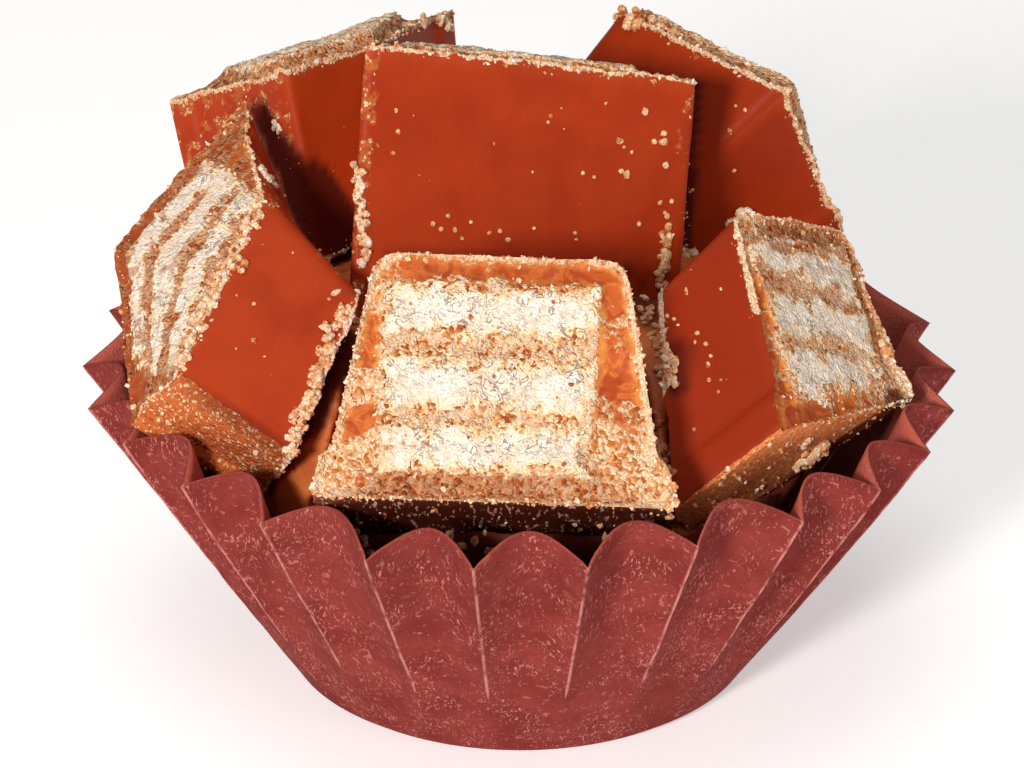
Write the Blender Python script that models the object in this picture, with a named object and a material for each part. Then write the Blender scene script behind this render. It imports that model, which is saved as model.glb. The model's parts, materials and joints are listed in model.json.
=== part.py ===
"""A brigadeiro in a fluted paper case: a soft ball pressed down into the paper,
covered by six chopped pieces of a chocolate-coated wafer finger.

Frame: metres, +Z up, the photographed front towards -Y. The origin is the middle
of the flat base of the paper case. Lengths below are millimetres times MM.
"""

import math

import bmesh
import bpy
from mathutils import Vector

MM = 0.001

# Paper case: one ridge per flute, as (degrees from the front towards +X, radius,
# height) of its tip, measured round the rim. The paper is longer than it is far
# from base to rim, so a ridge that leans out further ends lower.
RIDGES = (
    (-174.0, 21.3, 13.9), (-158.0, 21.5, 13.7), (-143.0, 21.6, 14.0), (-128.5, 22.1, 13.8),
    (-114.0, 22.5, 13.9), (-99.5, 21.7, 13.4), (-83.5, 20.7, 13.9), (-68.5, 19.9, 14.4),
    (-52.0, 19.6, 14.5), (-36.5, 19.6, 14.5), (-20.0, 20.1, 14.2), (-6.0, 20.0, 14.3),
    (8.5, 20.0, 14.3), (23.5, 19.7, 14.5), (39.5, 19.9, 14.4), (54.5, 20.2, 14.2),
    (68.5, 20.5, 14.1), (83.0, 20.8, 13.9), (97.0, 21.4, 13.6), (111.0, 21.9, 13.8),
    (126.0, 21.6, 14.6), (141.0, 21.6, 14.1), (156.0, 21.3, 14.0), (171.0, 21.4, 13.8),
)
FOLD_DEPTH = 1.9          # how far an inner fold stands in from the two ridges beside it
FOLD_RISE = 1.0           # and how much higher its edge ends
FOLD_FADE = 1.6           # power with which the folds die out towards the base
WALL_BOW = 0.08           # how much the wall bellies out
BASE_RADIUS = 11.35       # where the wall starts
FOOT_LIFT = 0.5           # height at which the wall leaves the rounded foot
FLAT_RADIUS = 10.65       # the part of the base that lies flat
PAPER = 0.28
WALL_SLANT = 1.18         # paper measured level through the slanting wall, over its thickness
STEPS_PER_FLUTE = 8
WALL_ROWS = 6
FLOOR_RADII = (FLAT_RADIUS, 5.0)

# The brigadeiro, as (radius, height) from its flat foot to its top.
BALL_PROFILE = (
    (8.4, 0.65), (9.9, 1.4), (11.0, 3.2), (12.3, 5.8), (13.5, 8.6), (14.6, 11.2),
    (15.0, 13.4), (14.3, 15.4), (12.2, 17.0), (9.0, 18.1), (5.0, 18.8),
)
BALL_BACK = 0.9           # how far behind the middle of the case the ball sits
BALL_TOP = 19.0
BALL_STEPS = 48
PRESS_REACH = 0.63        # how much further out each corner of a pressed-in piece cuts the ball

# Each piece of wafer finger, by its eight corners. The first four are the wide flat
# side of the finger, the last four the narrow side, each time in the order left of
# the near end, right of the near end, right of the far end, left of the far end.
CHUNKS = {
    "front": (
        (-9.18, -9.50, 10.86), (6.30, -9.51, 10.24), (6.53, -17.24, 16.10), (-8.96, -17.21, 16.70),
        (-6.67, -2.70, 19.73), (4.52, -2.71, 19.28), (4.74, -10.13, 24.90), (-6.45, -10.11, 25.34),
    ),
    "centre": (
        (-7.88, -1.68, 18.12), (7.21, 0.01, 16.30), (8.10, 4.49, 28.03), (-6.95, 2.98, 30.33),
        (-7.56, 5.18, 15.46), (4.80, 6.59, 13.97), (5.71, 11.11, 25.82), (-6.63, 9.84, 27.66),
    ),
    "left": (
        (-18.05, -6.60, 15.37), (-13.42, 6.50, 25.99), (-9.40, 1.90, 17.20), (-12.11, -8.00, 12.09),
        (-15.99, -8.00, 18.29), (-12.16, 0.00, 23.67), (-7.29, -4.60, 21.01), (-10.34, -12.00, 15.91),
    ),
    "right": (
        (6.97, -13.50, 13.98), (8.01, -8.60, 9.99), (18.49, -3.60, 15.00), (11.93, -12.00, 17.41),
        (6.15, -7.00, 22.21), (11.56, -1.18, 18.84), (15.47, 2.00, 21.34), (9.90, -4.00, 24.82),
    ),
    "back_left": (
        (-2.56, 17.60, 14.76), (-15.11, 9.90, 13.76), (-17.39, 13.40, 23.59), (-3.61, 20.20, 25.85),
        (-6.58, 7.70, 19.69), (-9.67, 5.52, 17.90), (-11.49, 8.00, 27.02), (-7.17, 11.20, 27.33),
    ),
    "back_right": (
        (8.19, 10.20, 12.80), (1.69, 18.40, 17.18), (6.54, 21.20, 19.91), (16.24, 11.40, 17.32),
        (8.03, 7.40, 21.61), (1.83, 15.00, 23.46), (4.84, 15.80, 27.50), (12.88, 8.60, 25.85),
    ),
}
# Ends that stand out: (0 near or 1 far end, shape, how far). A ridge runs down the
# middle of the wide side; a pillow stands out over the layers alone.
ENDS = {
    "left": (0, "ridge", (-3.60, 1.20, 0.10)),
    "centre": (1, "pillow", (0.03, 0.10, 0.28)),
    "back_left": (1, "pillow", (-0.19, 0.22, 0.64)),
    "back_right": (1, "pillow", (0.85, 0.72, 0.69)),
}

# Section of the finger: widths are shares of its half width, heights shares of its
# height from the wide side, which ends in a thin flange of chocolate.
FLANGE_OUT, FLANGE_TOP = 1.045, 0.16
FLANGE_NECK = (0.985, 0.20)
SIDE_MIDDLE = (1.0, 0.6)
# The left and right edges of the wafers and creams, at their foot and at their top.
BLOCK_SIDES = ((-0.667, 0.667), (-0.854, 0.854))
BLOCK_SIDES_OF = {"front": ((-0.66, 0.51), (-0.89, 0.76))}
BLOCK_LOW = 0.122         # where they start
LAYERS = (                # and how thick each one is
    ("wafer_low", 0.18), ("cream_low", 0.07), ("wafer_middle", 0.20),
    ("cream_high", 0.10), ("wafer_high", 0.21),
)
BLOCK_HIGH = BLOCK_LOW + sum(thickness for _, thickness in LAYERS)
LAYER_TILT_OF = {"right": -0.075}       # how much higher a border between layers is at their right edge than halfway
LAYER_GAP = 0.006         # about 0.07 mm above and below each layer
SIDE_GAP = 0.01
ACROSS = (-1.0, -0.5, 0.0, 0.5, 1.0)
HOLE_ROWS = 4             # rows of faces up each side of the hole in the chocolate

COLOURS = {
    "paper_case": ((0.30, 0.055, 0.05), 0.85),
    "ball": ((0.17, 0.045, 0.012), 0.45),
    "coating": ((0.33, 0.07, 0.02), 0.42),
    "wafer": ((0.83, 0.74, 0.60), 0.9),
    "cream": ((0.48, 0.20, 0.07), 0.8),
}


def material(name, kind):
    colour, roughness = COLOURS[kind]
    made = bpy.data.materials.new(name)
    made.use_nodes = True
    shader = made.node_tree.nodes["Principled BSDF"]
    shader.inputs["Base Color"].default_value = (*colour, 1.0)
    shader.inputs["Roughness"].default_value = roughness
    made.diffuse_color = (*colour, 1.0)
    return made


def add_object(name, kind, points, faces):
    """One closed, outward-facing body from points in millimetres."""
    mesh = bpy.data.meshes.new(name)
    mesh.from_pydata([tuple(c * MM for c in p) for p in points], [], faces)
    work = bmesh.new()
    work.from_mesh(mesh)
    bmesh.ops.triangulate(work, faces=work.faces[:])
    bmesh.ops.recalc_face_normals(work, faces=work.faces[:])
    work.to_mesh(mesh)
    work.free()
    mesh.materials.append(material(name, kind))
    obj = bpy.data.objects.new(name, mesh)
    bpy.context.scene.collection.objects.link(obj)
    return obj


def mix(a, b, t):
    return a * (1.0 - t) + b * t


def place(chunk, u, s, w):
    """Point of a chunk: u -1..1 across it, s 0..1 from near to far end, w 0..1 up."""
    corners = [Vector(c) for c in CHUNKS[chunk]]
    levels = []
    for ring in (corners[:4], corners[4:]):
        near = mix(ring[0], ring[1], (u + 1.0) / 2.0)
        far = mix(ring[3], ring[2], (u + 1.0) / 2.0)
        levels.append(mix(near, far, s))
    point = mix(levels[0], levels[1], w)
    if chunk in ENDS:
        end, shape, out = ENDS[chunk]
        share = s if end else 1.0 - s
        point += Vector(out) * stands_out(chunk, shape, u, w) * share
    return point


def stands_out(chunk, shape, u, w):
    """How much of its height a raised end has at one place, 0..1."""
    inside = 1.0 - min(1.0, abs(u))
    if shape == "ridge":
        return inside * (1.0 - w)
    beside = inside / (1.0 - block_edge(chunk, math.copysign(1.0, u), w) * math.copysign(1.0, u))
    return min(1.0, beside, w / BLOCK_LOW, (1.0 - w) / (1.0 - BLOCK_HIGH))


def block_edge(chunk, a, w):
    """Place across the wafers and creams of a chunk at height w: a is -1 at their left edge, 1 at their right."""
    low, high = BLOCK_SIDES_OF.get(chunk, BLOCK_SIDES)
    share = (w - BLOCK_LOW) / (BLOCK_HIGH - BLOCK_LOW)
    return mix(mix(low[0], high[0], share), mix(low[1], high[1], share), (a + 1.0) / 2.0)


def layer_border(chunk, a, w):
    """Height of a border between two layers at one place across; the block's own foot and top stay level."""
    inside = BLOCK_LOW + 1e-6 < w < BLOCK_HIGH - 1e-6
    return w + a * LAYER_TILT_OF.get(chunk, 0.0) if inside else w


def coating_outline():
    right = [(FLANGE_OUT, 0.0), (FLANGE_OUT, FLANGE_TOP), FLANGE_NECK, SIDE_MIDDLE]
    low = [(u, 0.0) for u in ACROSS[1:-1]]
    high = [(u, 1.0) for u in reversed(ACROSS)]
    return low + right + high + [(-u, w) for u, w in reversed(right)]


def hole_outline(chunk):
    heights = [mix(BLOCK_LOW, BLOCK_HIGH, k / HOLE_ROWS) for k in range(1, HOLE_ROWS)]
    low = [(block_edge(chunk, a, BLOCK_LOW), BLOCK_LOW) for a in ACROSS]
    high = [(block_edge(chunk, a, BLOCK_HIGH), BLOCK_HIGH) for a in reversed(ACROSS)]
    right = [(block_edge(chunk, 1.0, w), w) for w in heights]
    left = [(block_edge(chunk, -1.0, w), w) for w in reversed(heights)]
    return low + right + high + left


def strips(count, rings, pairs):
    faces = []
    for a, b in pairs:
        for i in range(count):
            j = (i + 1) % count
            faces.append((rings[a] + i, rings[a] + j, rings[b] + j, rings[b] + i))
    return faces


def add_coating(chunk):
    """The chocolate round a piece, open at both cut ends where the layers show."""
    outer, inner = coating_outline(), hole_outline(chunk)
    count = len(outer)
    points = []
    for outline, s in ((outer, 0.0), (outer, 1.0), (inner, 1.0), (inner, 0.0)):
        points += [place(chunk, u, s, w) for u, w in outline]
    rings = [0, count, 2 * count, 3 * count]
    add_object(f"{chunk}_coating", "coating", points,
               strips(count, rings, ((0, 1), (1, 2), (2, 3), (3, 0))))


def add_layer(chunk, name, low, high):
    borders = [(a, layer_border(chunk, a, low) + LAYER_GAP) for a in ACROSS]
    borders += [(a, layer_border(chunk, a, high) - LAYER_GAP) for a in reversed(ACROSS)]
    outline = [(block_edge(chunk, a, w) - a * SIDE_GAP, w) for a, w in borders]
    count = len(outline)
    points = [place(chunk, u, s, w) for s in (0.0, 1.0) for u, w in outline]
    faces = strips(count, [0, count], ((0, 1),))
    for start in (0, count):
        # The end is closed in quads, so that a broken end keeps its shape.
        for i in range(len(ACROSS) - 1):
            faces.append((start + i, start + i + 1, start + count - 2 - i, start + count - 1 - i))
    add_object(f"{chunk}_{name}", name.split("_")[0], points, faces)


def add_cutter(chunk):
    """The whole outside of a piece, a little larger, to press into the ball."""
    corners = [Vector(c) for c in CHUNKS[chunk]]
    middle = sum(corners, Vector()) / len(corners)
    outline = coating_outline()
    count = len(outline)
    points = []
    for s in (0.0, 1.0):
        for u, w in outline:
            away = place(chunk, u, s, w) - middle
            points.append(middle + away * (1.0 + PRESS_REACH / away.length))
    faces = strips(count, [0, count], ((0, 1),))
    faces += [[start + i for i in range(count)] for start in (0, count)]
    cutter = add_object(f"{chunk}_press", "coating", points, faces)
    cutter.hide_render = True
    cutter.display_type = "WIRE"
    return cutter


def add_ball():
    points, faces = [(0.0, BALL_BACK, BALL_PROFILE[0][1])], []
    for radius, height in BALL_PROFILE:
        for i in range(BALL_STEPS):
            turn = 2.0 * math.pi * i / BALL_STEPS
            points.append((radius * math.cos(turn), BALL_BACK + radius * math.sin(turn), height))
    points.append((0.0, BALL_BACK, BALL_TOP))
    for i in range(BALL_STEPS):
        j = (i + 1) % BALL_STEPS
        faces.append((0, 1 + j, 1 + i))
        for k in range(len(BALL_PROFILE) - 1):
            a, b = 1 + k * BALL_STEPS, 1 + (k + 1) * BALL_STEPS
            faces.append((a + i, a + j, b + j, b + i))
        top = 1 + (len(BALL_PROFILE) - 1) * BALL_STEPS
        faces.append((top + i, top + j, len(points) - 1))
    ball = add_object("brigadeiro", "ball", points, faces)
    for chunk in CHUNKS:
        cut = ball.modifiers.new(f"press_{chunk}", "BOOLEAN")
        cut.operation = "DIFFERENCE"
        cut.solver = "EXACT"
        cut.object = add_cutter(chunk)


def case_point(turn, up):
    """Outer surface of the case: turn counts flutes round it, up is 0 at the foot, 1 at the rim."""
    index = math.floor(turn)
    share = turn - index
    first, second = RIDGES[index % len(RIDGES)], RIDGES[(index + 1) % len(RIDGES)]
    span = (second[0] - first[0]) % 360.0
    angle = math.radians(first[0] + span * share)
    inward = math.sin(math.pi * share)   # 0 on the sharp ridges, 1 at the rounded inner fold
    rim_radius = mix(first[1], second[1], share)
    rim_height = mix(first[2], second[2], share) + FOLD_RISE * inward
    radius = mix(BASE_RADIUS, rim_radius, up + WALL_BOW * up * (1.0 - up))
    radius -= FOLD_DEPTH * inward * up ** FOLD_FADE
    height = mix(FOOT_LIFT, rim_height, up)
    return Vector((radius * math.sin(angle), -radius * math.cos(angle), height))


def case_rings():
    """The outer surface, as rings from the rim down to the flat base."""
    around = len(RIDGES) * STEPS_PER_FLUTE
    rings = []
    for k in range(WALL_ROWS, -1, -1):
        rings.append([case_point(i / STEPS_PER_FLUTE, k / WALL_ROWS) for i in range(around)])
    for radius in FLOOR_RADII:
        foot = [Vector((p.x, p.y, 0.0)) for p in rings[WALL_ROWS]]
        rings.append([p.normalized() * radius for p in foot])
    return rings


def paper_inside(point, on_wall):
    """The point of the inner surface across the paper."""
    if not on_wall:
        return point + Vector((0.0, 0.0, PAPER))
    inward = Vector((point.x, point.y, 0.0)).normalized() * PAPER * WALL_SLANT
    return point - inward


def add_case():
    outside = case_rings()
    inside = [[paper_inside(p, k <= WALL_ROWS) for p in ring] for k, ring in enumerate(outside)]
    around = len(outside[0])
    points, faces = [], []
    rims = []
    for surface, middle in ((outside, 0.0), (inside, PAPER)):
        starts = [len(points) + k * around for k in range(len(surface))]
        points += [p for ring in surface for p in ring]
        centre = len(points)
        points.append(Vector((0.0, 0.0, middle)))
        faces += strips(around, starts, [(k, k + 1) for k in range(len(starts) - 1)])
        faces += [(starts[-1] + i, starts[-1] + (i + 1) % around, centre) for i in range(around)]
        rims.append(starts[0])
    faces += strips(around, rims, ((0, 1),))
    add_object("paper_case", "paper_case", points, faces)


for old in list(bpy.data.objects):
    bpy.data.objects.remove(old, do_unlink=True)

add_case()
add_ball()
for piece in CHUNKS:
    add_coating(piece)
    bottom = BLOCK_LOW
    for layer, thickness in LAYERS:
        add_layer(piece, layer, bottom, bottom + thickness)
        bottom += thickness
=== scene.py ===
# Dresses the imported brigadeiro: its fluted paper case, the ball of fudge, six broken
# pieces of coated wafer finger and the crumbs on them. Dictionary lengths are in mm.
import json
import math

import bmesh
import bpy
import numpy as np
from mathutils import Matrix, Quaternion, Vector
from mathutils.bvhtree import BVHTree

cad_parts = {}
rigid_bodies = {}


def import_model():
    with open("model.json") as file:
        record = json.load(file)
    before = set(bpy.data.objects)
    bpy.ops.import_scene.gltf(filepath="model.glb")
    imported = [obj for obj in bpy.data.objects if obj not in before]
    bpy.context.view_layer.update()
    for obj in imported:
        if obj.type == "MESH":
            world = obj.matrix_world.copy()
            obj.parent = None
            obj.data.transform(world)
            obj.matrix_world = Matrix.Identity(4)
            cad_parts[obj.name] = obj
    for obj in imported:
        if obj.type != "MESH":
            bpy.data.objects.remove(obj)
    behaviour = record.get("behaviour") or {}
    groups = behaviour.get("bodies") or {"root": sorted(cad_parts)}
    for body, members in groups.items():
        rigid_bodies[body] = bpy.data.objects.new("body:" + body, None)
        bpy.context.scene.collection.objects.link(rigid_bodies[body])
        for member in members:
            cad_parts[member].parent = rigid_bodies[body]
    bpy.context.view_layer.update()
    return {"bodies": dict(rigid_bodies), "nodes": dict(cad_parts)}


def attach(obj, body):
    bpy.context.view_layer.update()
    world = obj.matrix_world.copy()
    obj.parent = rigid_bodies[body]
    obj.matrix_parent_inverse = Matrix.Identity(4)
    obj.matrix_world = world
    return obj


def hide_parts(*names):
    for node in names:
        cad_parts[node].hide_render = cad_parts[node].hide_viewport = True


mm = 0.001
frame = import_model()
body = next(iter(frame["bodies"]))
print("frame loaded with", len(frame["nodes"]), "nodes")


# Small helpers for node trees.

class Value:
    # what a node puts out; a sum or product with it makes a Math node
    def __init__(self, socket):
        self.socket = socket

    def __add__(self, other):
        return calc("ADD", self, other)

    def __sub__(self, other):
        return calc("SUBTRACT", self, other)

    def __rsub__(self, other):
        return calc("SUBTRACT", other, self)

    def __mul__(self, other):
        return calc("MULTIPLY", self, other)

    def __truediv__(self, other):
        return calc("DIVIDE", self, other)

    def __rtruediv__(self, other):
        return calc("DIVIDE", other, self)


def fill(node, sockets):
    # links values into the node's sockets, and sets plain numbers and colours on them
    for key, value in sockets.items():
        if isinstance(value, Value):
            node.id_data.links.new(value.socket, node.inputs[key])
        else:
            node.inputs[key].default_value = value


def addNode(tree, kind, sockets=None, **settings):
    made = tree.nodes.new(kind)
    for name, value in settings.items():
        setattr(made, name, value)
    fill(made, sockets or {})
    return made


def out(tree, kind, sockets=None, key=0, **settings):
    return Value(addNode(tree, kind, sockets, **settings).outputs[key])


def treeOf(*values):
    return next(value.socket.id_data for value in values if isinstance(value, Value))


def calc(operation, first, second=0.0, clamp=False):
    return out(treeOf(first, second), "ShaderNodeMath", {0: first, 1: second},
               operation=operation, use_clamp=clamp)


def larger(first, *others):
    for other in others:
        first = calc("MAXIMUM", first, other)
    return first


def vectorMath(operation, first, second):
    sockets = {0: first, "Scale" if operation == "SCALE" else 1: second}
    return out(treeOf(first, second), "ShaderNodeVectorMath", sockets, operation=operation)


def lengthOf(vector):
    return out(treeOf(vector), "ShaderNodeVectorMath", {0: vector}, "Value", operation="LENGTH")


def axes(vector):
    return [Value(socket) for socket in addNode(treeOf(vector), "ShaderNodeSeparateXYZ", {0: vector}).outputs]


def ramp(value, low, high, toLow=0.0, toHigh=1.0):
    # a soft step from toLow to toHigh while the value goes from low to high
    return out(treeOf(value), "ShaderNodeMapRange", dict(enumerate((value, low, high, toLow, toHigh))),
               interpolation_type="SMOOTHSTEP")


def fade(value, low, high):
    return ramp(value, low, high, 1.0, 0.0)


def noise(where, scale, detail=2.0, distortion=0.0):
    sockets = {"Vector": where, "Scale": scale, "Detail": detail, "Distortion": distortion}
    return out(treeOf(where), "ShaderNodeTexNoise", sockets)


def wave(size, detail):
    # unevenness from -1 to 1 over lengths of about this size
    return (out(treeOf(size), "ShaderNodeTexNoise", {"Scale": 1.0 / size, "Detail": detail}) - 0.5) * 2.0


def mapped(place, scale, turn=(0.0, 0.0, 0.0)):
    return out(treeOf(place), "ShaderNodeMapping", {"Vector": place, "Rotation": turn, "Scale": scale})


def paint(look, colour, *coats):
    # lays colours over each other; a coat is its share and its colour, and a name is a colour of the look
    for share, over in coats:
        under, over = (value if isinstance(value, Value) else (*look[value], 1.0) for value in (colour, over))
        colour = out(treeOf(share), "ShaderNodeMix", {0: share, 6: under, 7: over}, 2, data_type="RGBA")
    return colour


def newMaterial(name, roughness, gloss):
    # returns the material, its tree, its shader and the object's own place in millimetres
    made = bpy.data.materials.new(name)
    made.use_nodes = True
    tree = made.node_tree
    shader = tree.nodes["Principled BSDF"]
    fill(shader, {"Roughness": roughness, "Specular IOR Level": gloss})
    place = out(tree, "ShaderNodeTexCoord", key="Object")
    return made, tree, shader, mapped(place, (1.0 / mm,) * 3)


def surfaceValue(tree, name):
    return out(tree, "ShaderNodeAttribute", key="Fac", attribute_name=name)


def bump(height, depth):
    return out(treeOf(height), "ShaderNodeBump", {"Height": height, "Distance": depth * mm})


def newTree(name, kind, inputs, outputs):
    # named sockets, each with its kind or its usual number
    tree = bpy.data.node_groups.new(name, kind)
    for way, sockets in (("INPUT", inputs), ("OUTPUT", outputs)):
        for label, usual in sockets.items():
            hasKind = isinstance(usual, str)
            socketKind = usual if hasKind else type(usual).__name__.capitalize()
            socket = tree.interface.new_socket(label, in_out=way, socket_type="NodeSocket" + socketKind)
            if not hasKind:
                socket.default_value = usual
    start = {socket.name: Value(socket) for socket in addNode(tree, "NodeGroupInput").outputs}
    return tree, start, addNode(tree, "NodeGroupOutput")


def useGroup(group, **sockets):
    made = addNode(treeOf(*sockets.values()), "ShaderNodeGroup", sockets, node_tree=group)
    return {socket.name: Value(socket) for socket in made.outputs}


# Small helpers for meshes.

def addValue(mesh, label, numbers):
    # one number, or one vector, for each point
    numbers = np.asarray(numbers, np.float32)
    layer = mesh.attributes.new(label, "FLOAT" if numbers.ndim == 1 else "FLOAT_VECTOR", "POINT")
    layer.data.foreach_set("value" if numbers.ndim == 1 else "vector", numbers.ravel())


def valuesOf(obj, label):
    numbers = np.zeros(len(obj.data.vertices), np.float32)
    obj.data.attributes[label].data.foreach_get("value", numbers)
    return numbers


def linked(obj):
    bpy.context.scene.collection.objects.link(obj)
    return obj


def placed(name, data):
    return linked(bpy.data.objects.new(name, data))


def copyOf(obj):
    made = obj.copy()
    made.data = obj.data.copy()
    return made


def reworked(mesh, change):
    work = bmesh.new()
    work.from_mesh(mesh)
    change(work)
    work.to_mesh(mesh)
    work.free()


def newMesh(name, points, faces, values=None):
    # points in millimetres; values are named numbers, one for each point
    mesh = bpy.data.meshes.new(name)
    mesh.from_pydata((np.asarray(points) * mm).tolist(), [], faces)
    for label, numbers in (values or {}).items():
        addValue(mesh, label, numbers)
    reworked(mesh, lambda work: bmesh.ops.recalc_face_normals(work, faces=work.faces))
    mesh.shade_smooth()
    return placed(name, mesh)


def settle(obj):
    # turns what the modifiers make into the object's plain mesh
    graph = bpy.context.evaluated_depsgraph_get()
    shape = obj.evaluated_get(graph)
    made = bpy.data.meshes.new_from_object(shape, preserve_all_data_layers=True, depsgraph=graph)
    obj.modifiers.clear()
    obj.data = made
    made.name = obj.name


def newGeometryTree(name, inputs):
    inputs = {"Geometry": "Geometry", **inputs, "Material": "Material"}
    return newTree(name, "GeometryNodeTree", inputs, {"Geometry": "Geometry"})


def finishTree(start, end, geometry):
    real = out(end.id_data, "GeometryNodeRealizeInstances", {"Geometry": geometry})
    sockets = {"Geometry": real, "Material": start["Material"]}
    fill(end, {"Geometry": out(end.id_data, "GeometryNodeSetMaterial", sockets)})


def moved(tree, geometry, **sockets):
    return out(tree, "GeometryNodeSetPosition", {"Geometry": geometry, **sockets})


def position(tree):
    return out(tree, "GeometryNodeInputPosition")


def alongNormal(tree, amount):
    return vectorMath("SCALE", out(tree, "GeometryNodeInputNormal"), amount)


def readValue(tree, name, kind="FLOAT"):
    return out(tree, "GeometryNodeInputNamedAttribute", {"Name": name}, data_type=kind)


def storeValue(tree, geometry, name, value, domain="POINT"):
    sockets = {"Geometry": geometry, "Name": name, "Value": value}
    return out(tree, "GeometryNodeStoreNamedAttribute", sockets, data_type="FLOAT", domain=domain)


def grow(obj, tree, material, values):
    # runs a Geometry Nodes tree on the object and keeps the result as its mesh
    values = {**values, "Material": material}
    modifier = obj.modifiers.new(tree.name, "NODES")
    modifier.node_group = tree
    for item in tree.interface.items_tree:
        if item.item_type == "SOCKET" and item.in_out == "INPUT" and item.name in values:
            modifier[item.identifier] = values[item.name]
    settle(obj)


def joined(objects, name):
    target = objects[0]
    with bpy.context.temp_override(active_object=target, selected_editable_objects=objects):
        bpy.ops.object.join()
    target.name = target.data.name = name
    return target


def keep(obj, material, slot, *nodes):
    # a finished piece: its finish, its body and the solids it stands for
    obj.data.materials.clear()
    obj.data.materials.append(material)
    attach(obj, body)
    if nodes:
        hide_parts(*nodes)


# The finishes. Every pattern reads the object's own place in millimetres.

def makeGrain():
    # broken granules: a random tone for each, the dark line between them and their height
    tree, start, end = newTree("granules", "ShaderNodeTree", {"Vector": "Vector", "Size": 0.2},
                               {"Tone": "Float", "Line": "Float", "Height": "Float"})
    place = start["Vector"]
    bent = out(tree, "ShaderNodeTexNoise", {"Vector": place, "Scale": 3.0, "Detail": 2.0}, "Color")
    sockets = {"Vector": vectorMath("ADD", place, vectorMath("SCALE", bent, 0.4)), "Scale": 1.0 / start["Size"]}
    cells = addNode(tree, "ShaderNodeTexVoronoi", sockets).outputs
    edges = out(tree, "ShaderNodeTexVoronoi", sockets, feature="DISTANCE_TO_EDGE")
    fill(end, {"Tone": out(tree, "ShaderNodeSeparateColor", {0: Value(cells["Color"])}),
               "Line": fade(edges, 0.02, 0.15), "Height": fade(Value(cells["Distance"]), 0.0, 0.8)})
    return tree


def makeMottle():
    # broad patches and fine unevenness of colour, both from 0 to 1
    tree, start, end = newTree("mottle", "ShaderNodeTree", {"Vector": "Vector", "Broad": 4.0, "Fine": 0.6},
                               {"Patches": "Float", "Fleck": "Float"})
    broad = noise(start["Vector"], 1.0 / start["Broad"], 2.0, 0.6)
    fine = noise(start["Vector"], 1.0 / start["Fine"], 3.0)
    fill(end, {"Patches": ramp(broad, 0.3, 0.7), "Fleck": ramp(fine, 0.35, 0.75)})
    return tree


grain = makeGrain()
mottle = makeMottle()

fillingLook = {
    "wafer": (0.84, 0.66, 0.5),
    "waferPale": (0.92, 0.81, 0.7),
    "speck": (0.36, 0.22, 0.16),
    "stain": (0.52, 0.22, 0.1),
    "fringe": (0.9, 0.6, 0.26),
    "creamDark": (0.42, 0.09, 0.025),
    "cream": (0.74, 0.29, 0.095),
    "creamPale": (0.93, 0.62, 0.36),
    "granuleSize": 0.17,
    "bordersStray": 2.2,        # mm that the layers' borders stray, and mm by granules
    "granulesStray": 0.45,
    "fringeWide": 0.6,
    "gloss": 0.15,
    "depth": 0.12,
}


def makeFillingGroup(look):
    # wafer where Depth, in mm, is above nought and cocoa cream where it is below, with a
    # ragged border; the same pattern on both sides, so that the pieces run into each other
    inputs = {"Vector": "Vector", "Depth": 1.0, "Ragged": 1.0, "Brown": 0.0}
    tree, start, end = newTree("filling", "ShaderNodeTree", inputs,
                               {"Color": "Color", "Wafer": "Float", "Height": "Float"})
    place, brown = start["Vector"], start["Brown"]
    grains = useGroup(grain, Vector=place, Size=look["granuleSize"])
    tones = useGroup(mottle, Vector=place, Broad=1.1, Fine=0.35)
    ragged = (noise(place, 1.0, 3.0, 0.3) - 0.5) * start["Ragged"]
    depth = start["Depth"] + ragged * look["bordersStray"] + (grains["Tone"] - 0.5) * look["granulesStray"]
    share = ramp(depth, -0.04, 0.05)
    # the wafer, with fine dark strands that crowd in places
    strand = fade(calc("ABSOLUTE", noise(place, 2.0, 1.0, 1.3) - 0.5), 0.018, 0.05)
    strand = strand * ramp(noise(place, 2.2, 2.0), 0.47, 0.53)
    strand = strand * ramp(noise(place, 0.45, 2.0), 0.36, 0.6, 0.15, 1.0)
    crumb = paint(look, "wafer", (tones["Patches"], "waferPale"),
                  (fade(depth, 0.05, look["fringeWide"]) * 0.65, "fringe"), (strand * 0.8, "speck"),
                  (ramp(noise(place, 0.9, 4.0), 0.56, 0.62) * brown, "stain"))
    # the cream, as granules that are darker in places
    tone = grains["Tone"] - ramp(noise(place, 0.8, 2.0), 0.42, 0.62, -0.16, 0.22)
    cream = paint(look, "creamDark", (ramp(tone, -0.05, 0.14), "cream"),
                  (ramp(tone, 0.12, 0.42), "creamPale"), (ramp(tone, 0.55, 0.85), "wafer"),
                  (grains["Line"] * 0.45, "cream"), (brown * 0.75, "creamDark"))
    height = grains["Height"] * (1.0 - share * 0.5) + noise(place, 5.0, 3.0) * 0.8 - strand * 0.7
    fill(end, {"Color": paint(look, cream, (share, crumb)), "Wafer": share, "Height": height})
    return tree


filling = makeFillingGroup(fillingLook)


def makeFilling(name, side):
    # one finish of the filling: side is 1 in a wafer and -1 in the cream between two
    made, tree, shader, place = newMaterial(name, 0.9, fillingLook["gloss"])
    parts = useGroup(filling, Vector=place, Depth=surfaceValue(tree, "layerEdge") * side,
                     Ragged=surfaceValue(tree, "ragged"), Brown=surfaceValue(tree, "brown"))
    fill(shader, {"Base Color": parts["Color"], "Normal": bump(parts["Height"], fillingLook["depth"])})
    return made


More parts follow.
